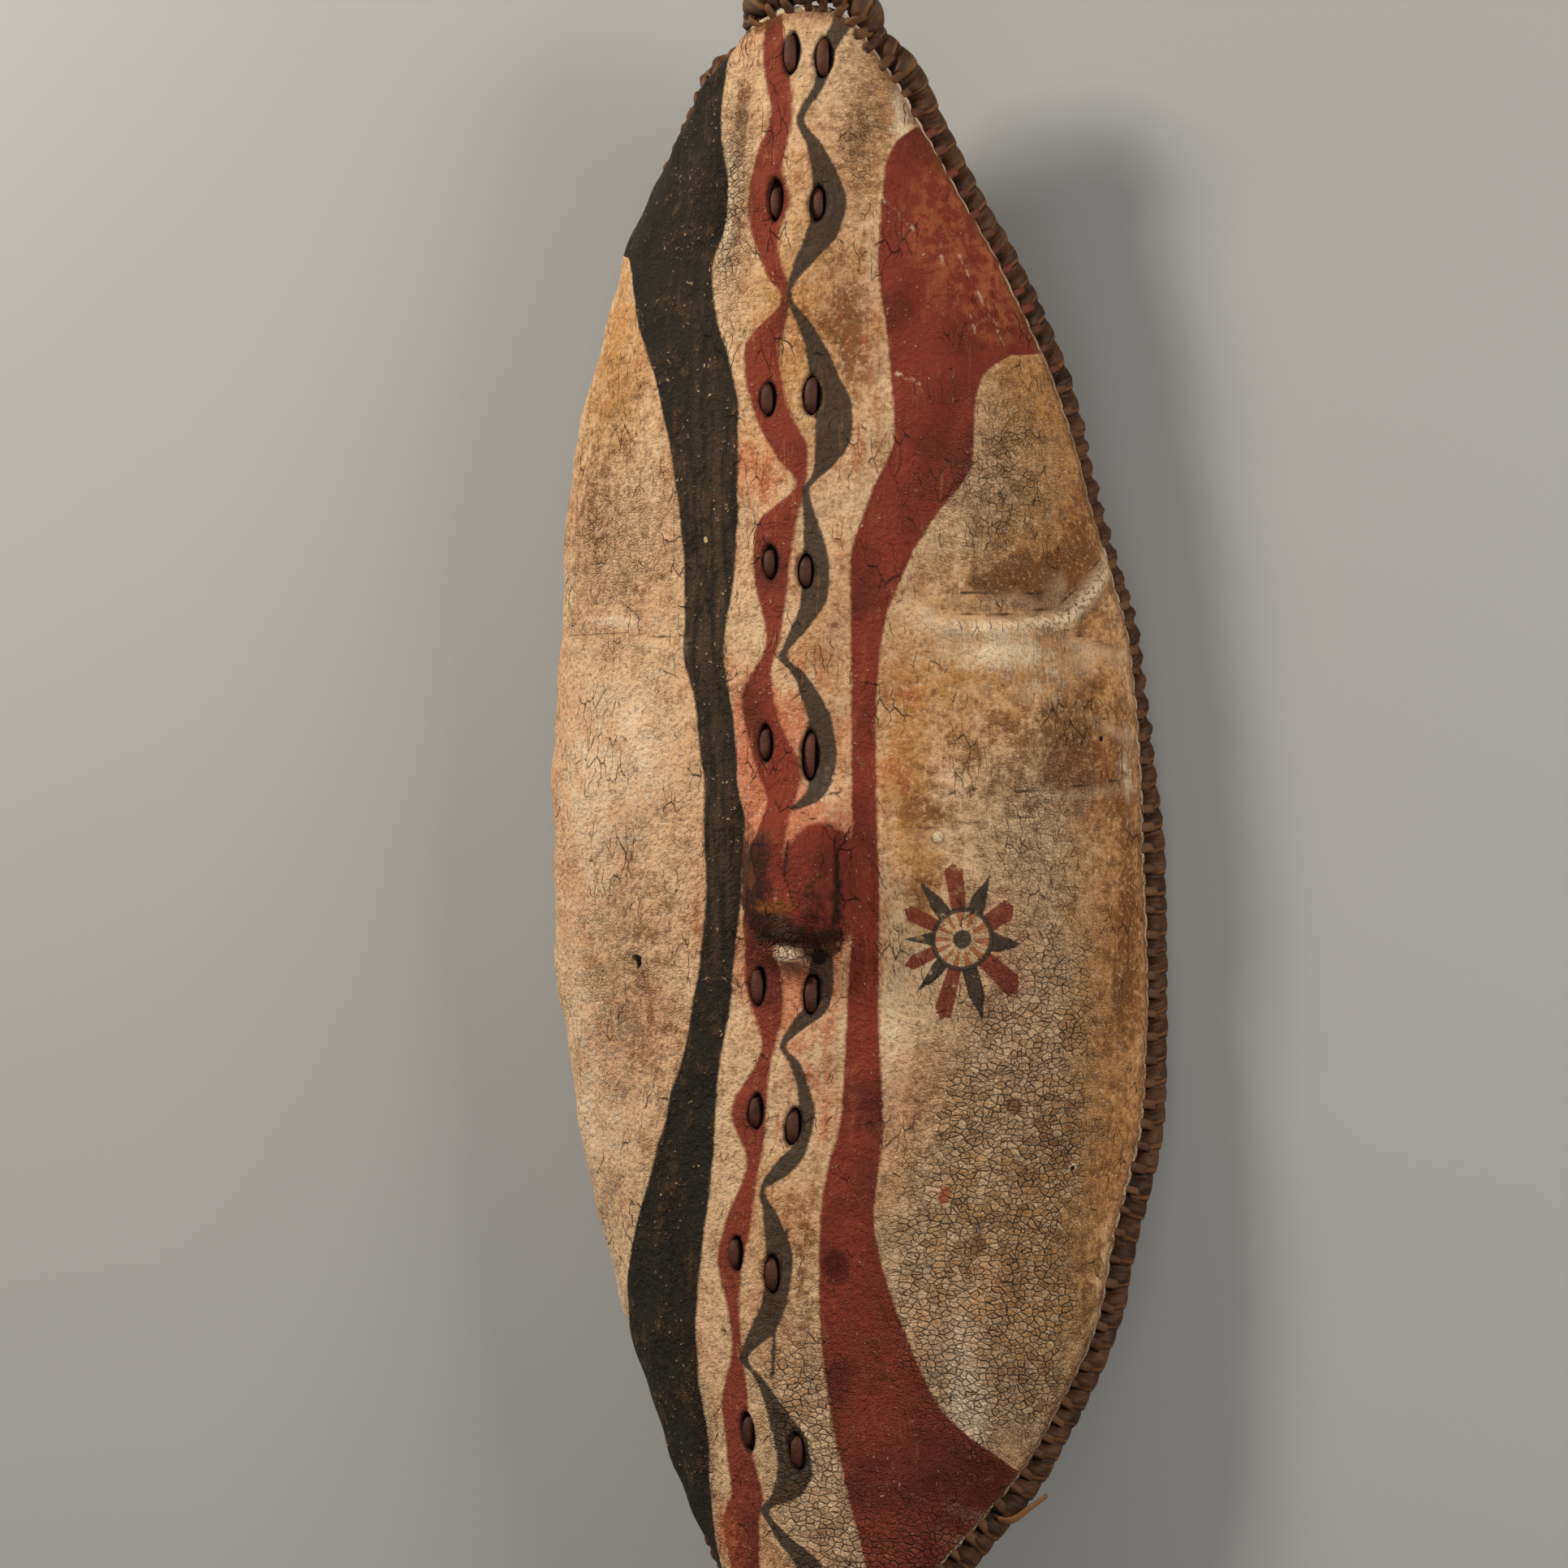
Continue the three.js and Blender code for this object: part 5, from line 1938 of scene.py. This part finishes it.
@dataclass
class Lashings:
    """A loop of thong through each pair of slots and round the stave."""

    form: HideForm
    lacing: Lacing
    stave: Stave
    wide: float = 8.4
    thick: float = 4.8
    lean: float = -1.0
    end_room: float = 2.6
    # Under each slot lies a flat dark strap that stands for the shade seen through the slot.
    shade_backing: tuple[float, float, float] = (13.0, 2.0, 8.2)  # width, thickness and depth

    def loop(self, pair: tuple[Slot, Slot], dice: np.random.Generator) -> Skin:
        """One lashing.

        Args:
            pair: its left and right slots.
            dice: source of small differences.

        Returns:
            The lashing's skin.
        """
        x_axis, y_axis = np.array([1.0, 0, 0]), np.array([0, 1.0, 0])
        middle = np.array([(pair[0].station + pair[1].station) / 2])
        behind = float(self.stave.upper(middle)[0]) - self.stave.deep - 2.4
        drift = float(through(self.form.ridge_drift, middle)[0])
        plan = []
        for k, (slot, way) in enumerate(((pair[0], 1), (pair[1], -1))):
            face = self.form.face(slot.station, slot.across + self.lean)
            reach = slot.long / 2 - self.end_room
            tilt = x_axis + np.array([0, 0, dice.uniform(-0.3, 0.3)])
            sway = dice.uniform(-0.05, 0.05)
            proud = dice.uniform(-0.9, 0.1)
            for end, sink, share in ((-1, 14, 0.55), (-0.98, 5.5, 0.6), (-0.62, 1.7, 0.88),
                                     (0, 0.9, 1.0), (0.62, 1.7, 0.88), (0.98, 5.5, 0.6),
                                     (1, 14, 0.55)):
                run = end * way * reach
                point = face + np.array([sway * run, run, proud - sink - 0.9])
                plan.append((point, tilt, share))
            other = pair[1 - k]
            there = self.form.face(other.station, other.across + self.lean)
            leave = np.array([face[0], slot.station + way * reach * 0.8, behind])
            other_reach = other.long / 2 - self.end_room
            arrive = np.array([there[0], other.station + way * other_reach * 0.8, behind])
            cross = np.array([drift, (leave[1] + arrive[1]) / 2, behind - 0.8])
            plan += [(leave, unit(x_axis * 0.4 + y_axis), 0.6), (cross, y_axis, 0.6),
                     (arrive, unit(y_axis - x_axis * 0.2), 0.6)]
        path = rounded(np.array([point for point, _, _ in plan]), True, 5)
        across = rounded(np.array([axis for _, axis, _ in plan]), True, 5)
        share = rounded(np.array([[w] for _, _, w in plan]), True, 5)[:, 0]
        skins = [strap(path, across, self.wide * share, self.thick, True, 12, 0.8)]
        # Painted shade: a flat dark strap under each slot hides the lit floor.
        wide, thick, deep = self.shade_backing
        for slot in pair:
            side = math.copysign(1.6, slot.across)
            face = self.form.face(slot.station, slot.across + side)
            run = np.linspace(-1, 1, 9)[:, None]
            under = face + run * y_axis * (slot.long / 2 + 2) - np.array([0, 0, deep])
            skins.append(strap(under, np.repeat(x_axis[None], 9, 0), wide, thick, False, 12))
        skin = Skin.joined(skins)
        count = len(skin.points)
        skin.values["painted"] = np.full(count, dice.uniform(0, 0.25))
        skin.values["shade"] = np.full(count, dice.uniform(0, 0.4))
        height = self.form.face(float(middle[0]), 0.0)[2] - skin.points[:, 2]
        # Painted shade on the runs down in the slots and on the straps under the slots.
        skin.values["deep"] = smoothstep(5, 10, height) * smoothstep(22, 16, height)
        return skin

    def build(self, leather: bpy.types.Material) -> list[bpy.types.Object]:
        """Makes the ten lashings.

        Args:
            leather: their finish.

        Returns:
            The lashing objects.
        """
        dice = np.random.default_rng(SEED + 5)
        return [self.loop(pair, dice).make(f"thong_lashing_{i:02d}", leather, "thong_leather",
                                           (f"lashing_{i:02d}",))
                for i, pair in enumerate(self.lacing.slots(), 1)]


# ------------------------------------------------------------------ studio

@dataclass(frozen=True)
class SoftLight:
    """A square soft light aimed at the shield."""

    name: str
    place: tuple[float, float, float]
    size: float
    watts: float
    tint: Hex = "#ffffff"

    def put(self, aim: Vector) -> None:
        """Adds the light.

        Args:
            aim: the point that it faces, in metres.
        """
        lamp = bpy.data.lights.new(self.name, "AREA")
        lamp.shape = "SQUARE"
        lamp.size = self.size
        lamp.energy = self.watts
        lamp.color = linear(self.tint)[:3]
        holder = bpy.data.objects.new(self.name, lamp)
        holder.location = self.place
        holder.rotation_euler = (aim - Vector(self.place)).to_track_quat("-Z", "Y").to_euler()
        bpy.context.scene.collection.objects.link(holder)


@dataclass
class Studio:
    """Floor, lights and the camera above the lying shield."""

    origin: np.ndarray
    lean: float = 18.0
    distance: float = 3200.0
    frame_width: float = 1014.3
    aim_up: float = 62.5
    aim_side: float = -2.6
    aim_height: float = 158.0
    floor_half: float = 6.0
    sensor: float = 36.0
    dim: float = 0.16
    haze: Hex = "#d0ccc6"
    lights: tuple[SoftLight, ...] = (
        SoftLight("key", (-1.8, 1.5, 1.6), 0.6, 84, "#fff2e0"),
        SoftLight("fill", (2.3, 0.6, 1.4), 0.9, 49, "#fff4e6"),
        SoftLight("overhead", (0.2, -1.4, 3.0), 2.2, 12, "#fffaf2"))

    def build(self, paper: bpy.types.Material) -> None:
        """Adds the floor, the lights and the camera.

        Args:
            paper: finish of the floor.
        """
        mesh = bpy.data.meshes.new("floor")
        reach = self.floor_half
        mesh.from_pydata([(-reach, -reach, 0), (reach, -reach, 0), (reach, reach, 0),
                          (-reach, reach, 0)], [], [(0, 1, 2, 3)])
        mesh.materials.append(paper)
        floor = bpy.data.objects.new("floor", mesh)
        bpy.context.scene.collection.objects.link(floor)
        tilt = math.radians(self.lean)
        back = Vector((math.sin(tilt), 0, math.cos(tilt)))
        right = Vector((math.cos(tilt), 0, -math.sin(tilt)))
        ridge = Vector((np.array([0, 0, self.aim_height]) + self.origin).tolist())
        aim = ridge + Vector((0, self.aim_up, 0)) + right * self.aim_side
        lens = bpy.data.cameras.new("camera")
        lens.sensor_width = self.sensor
        lens.lens = self.sensor * self.distance / self.frame_width
        lens.clip_end = 100.0
        camera = bpy.data.objects.new("camera", lens)
        camera.location = (aim + back * self.distance) * MM
        camera.rotation_euler = (0, tilt, 0)
        bpy.context.scene.collection.objects.link(camera)
        bpy.context.scene.camera = camera
        for light in self.lights:
            light.put(Vector((0, 0, 0.08)))
        world = bpy.data.worlds.new("studio")
        world.use_nodes = True
        background = world.node_tree.nodes["Background"]
        background.inputs["Color"].default_value = linear(self.haze)
        background.inputs["Strength"].default_value = self.dim
        bpy.context.scene.world = world
        bpy.context.scene.view_settings.view_transform = "Standard"


def shield_origin(form: HideForm) -> np.ndarray:
    """Where the boss station of the ridge lies in the frame, from the CAD hide's box.

    Args:
        form: the hide's form.

    Returns:
        The offset of the form in the frame, in millimetres.
    """
    rows = np.linspace(form.foot, form.top, 400)[:, None]
    parts = np.linspace(-1, 1, 201)[None]
    parts, rows = np.broadcast_arrays(parts, rows)
    face = form.middle(parts, rows) + form.normal(parts, rows) * form.thick / 2
    low, high = (np.array(corner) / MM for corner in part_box("hide"))
    own = (face.reshape(-1, 3).min(0) + face.reshape(-1, 3).max(0)) / 2
    offset = (low + high) / 2 - own
    offset[2] = 0.0
    return offset


def main() -> None:
    """Builds every part of the shield and the studio round it."""
    logging.basicConfig(level=logging.INFO)
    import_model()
    form, lacing = HideForm(), Lacing()
    origin = shield_origin(form)
    LOG.info("origin %s", origin.round(2).tolist())

    roll = EdgeRoll(form)
    sewing = EdgeSewing(roll)
    stave = Stave(form)
    rim = roll.rim()
    pieces = [
        Hide(form, lacing, sewing.stitches(rim)).build(PaintedRawhide().dress(), FleshSide().dress()),
        roll.build(rim, WoundLeather().dress()),
        sewing.build(rim, ThongLeather("sewing_thong", Tint.SEWING).dress()),
        stave.build(WhittledWood().dress()),
        *Lashings(form, lacing, stave).build(ThongLeather("lacing_thong", Tint.LACE).dress()),
    ]
    shift = Vector((origin * MM).tolist())
    for piece in pieces:
        piece.data.transform(Matrix.Translation(shift))
    Studio(origin).build(BackdropPaper().dress())
    LOG.info("%d pieces", len(pieces))


if __name__ == "__main__":
    main()
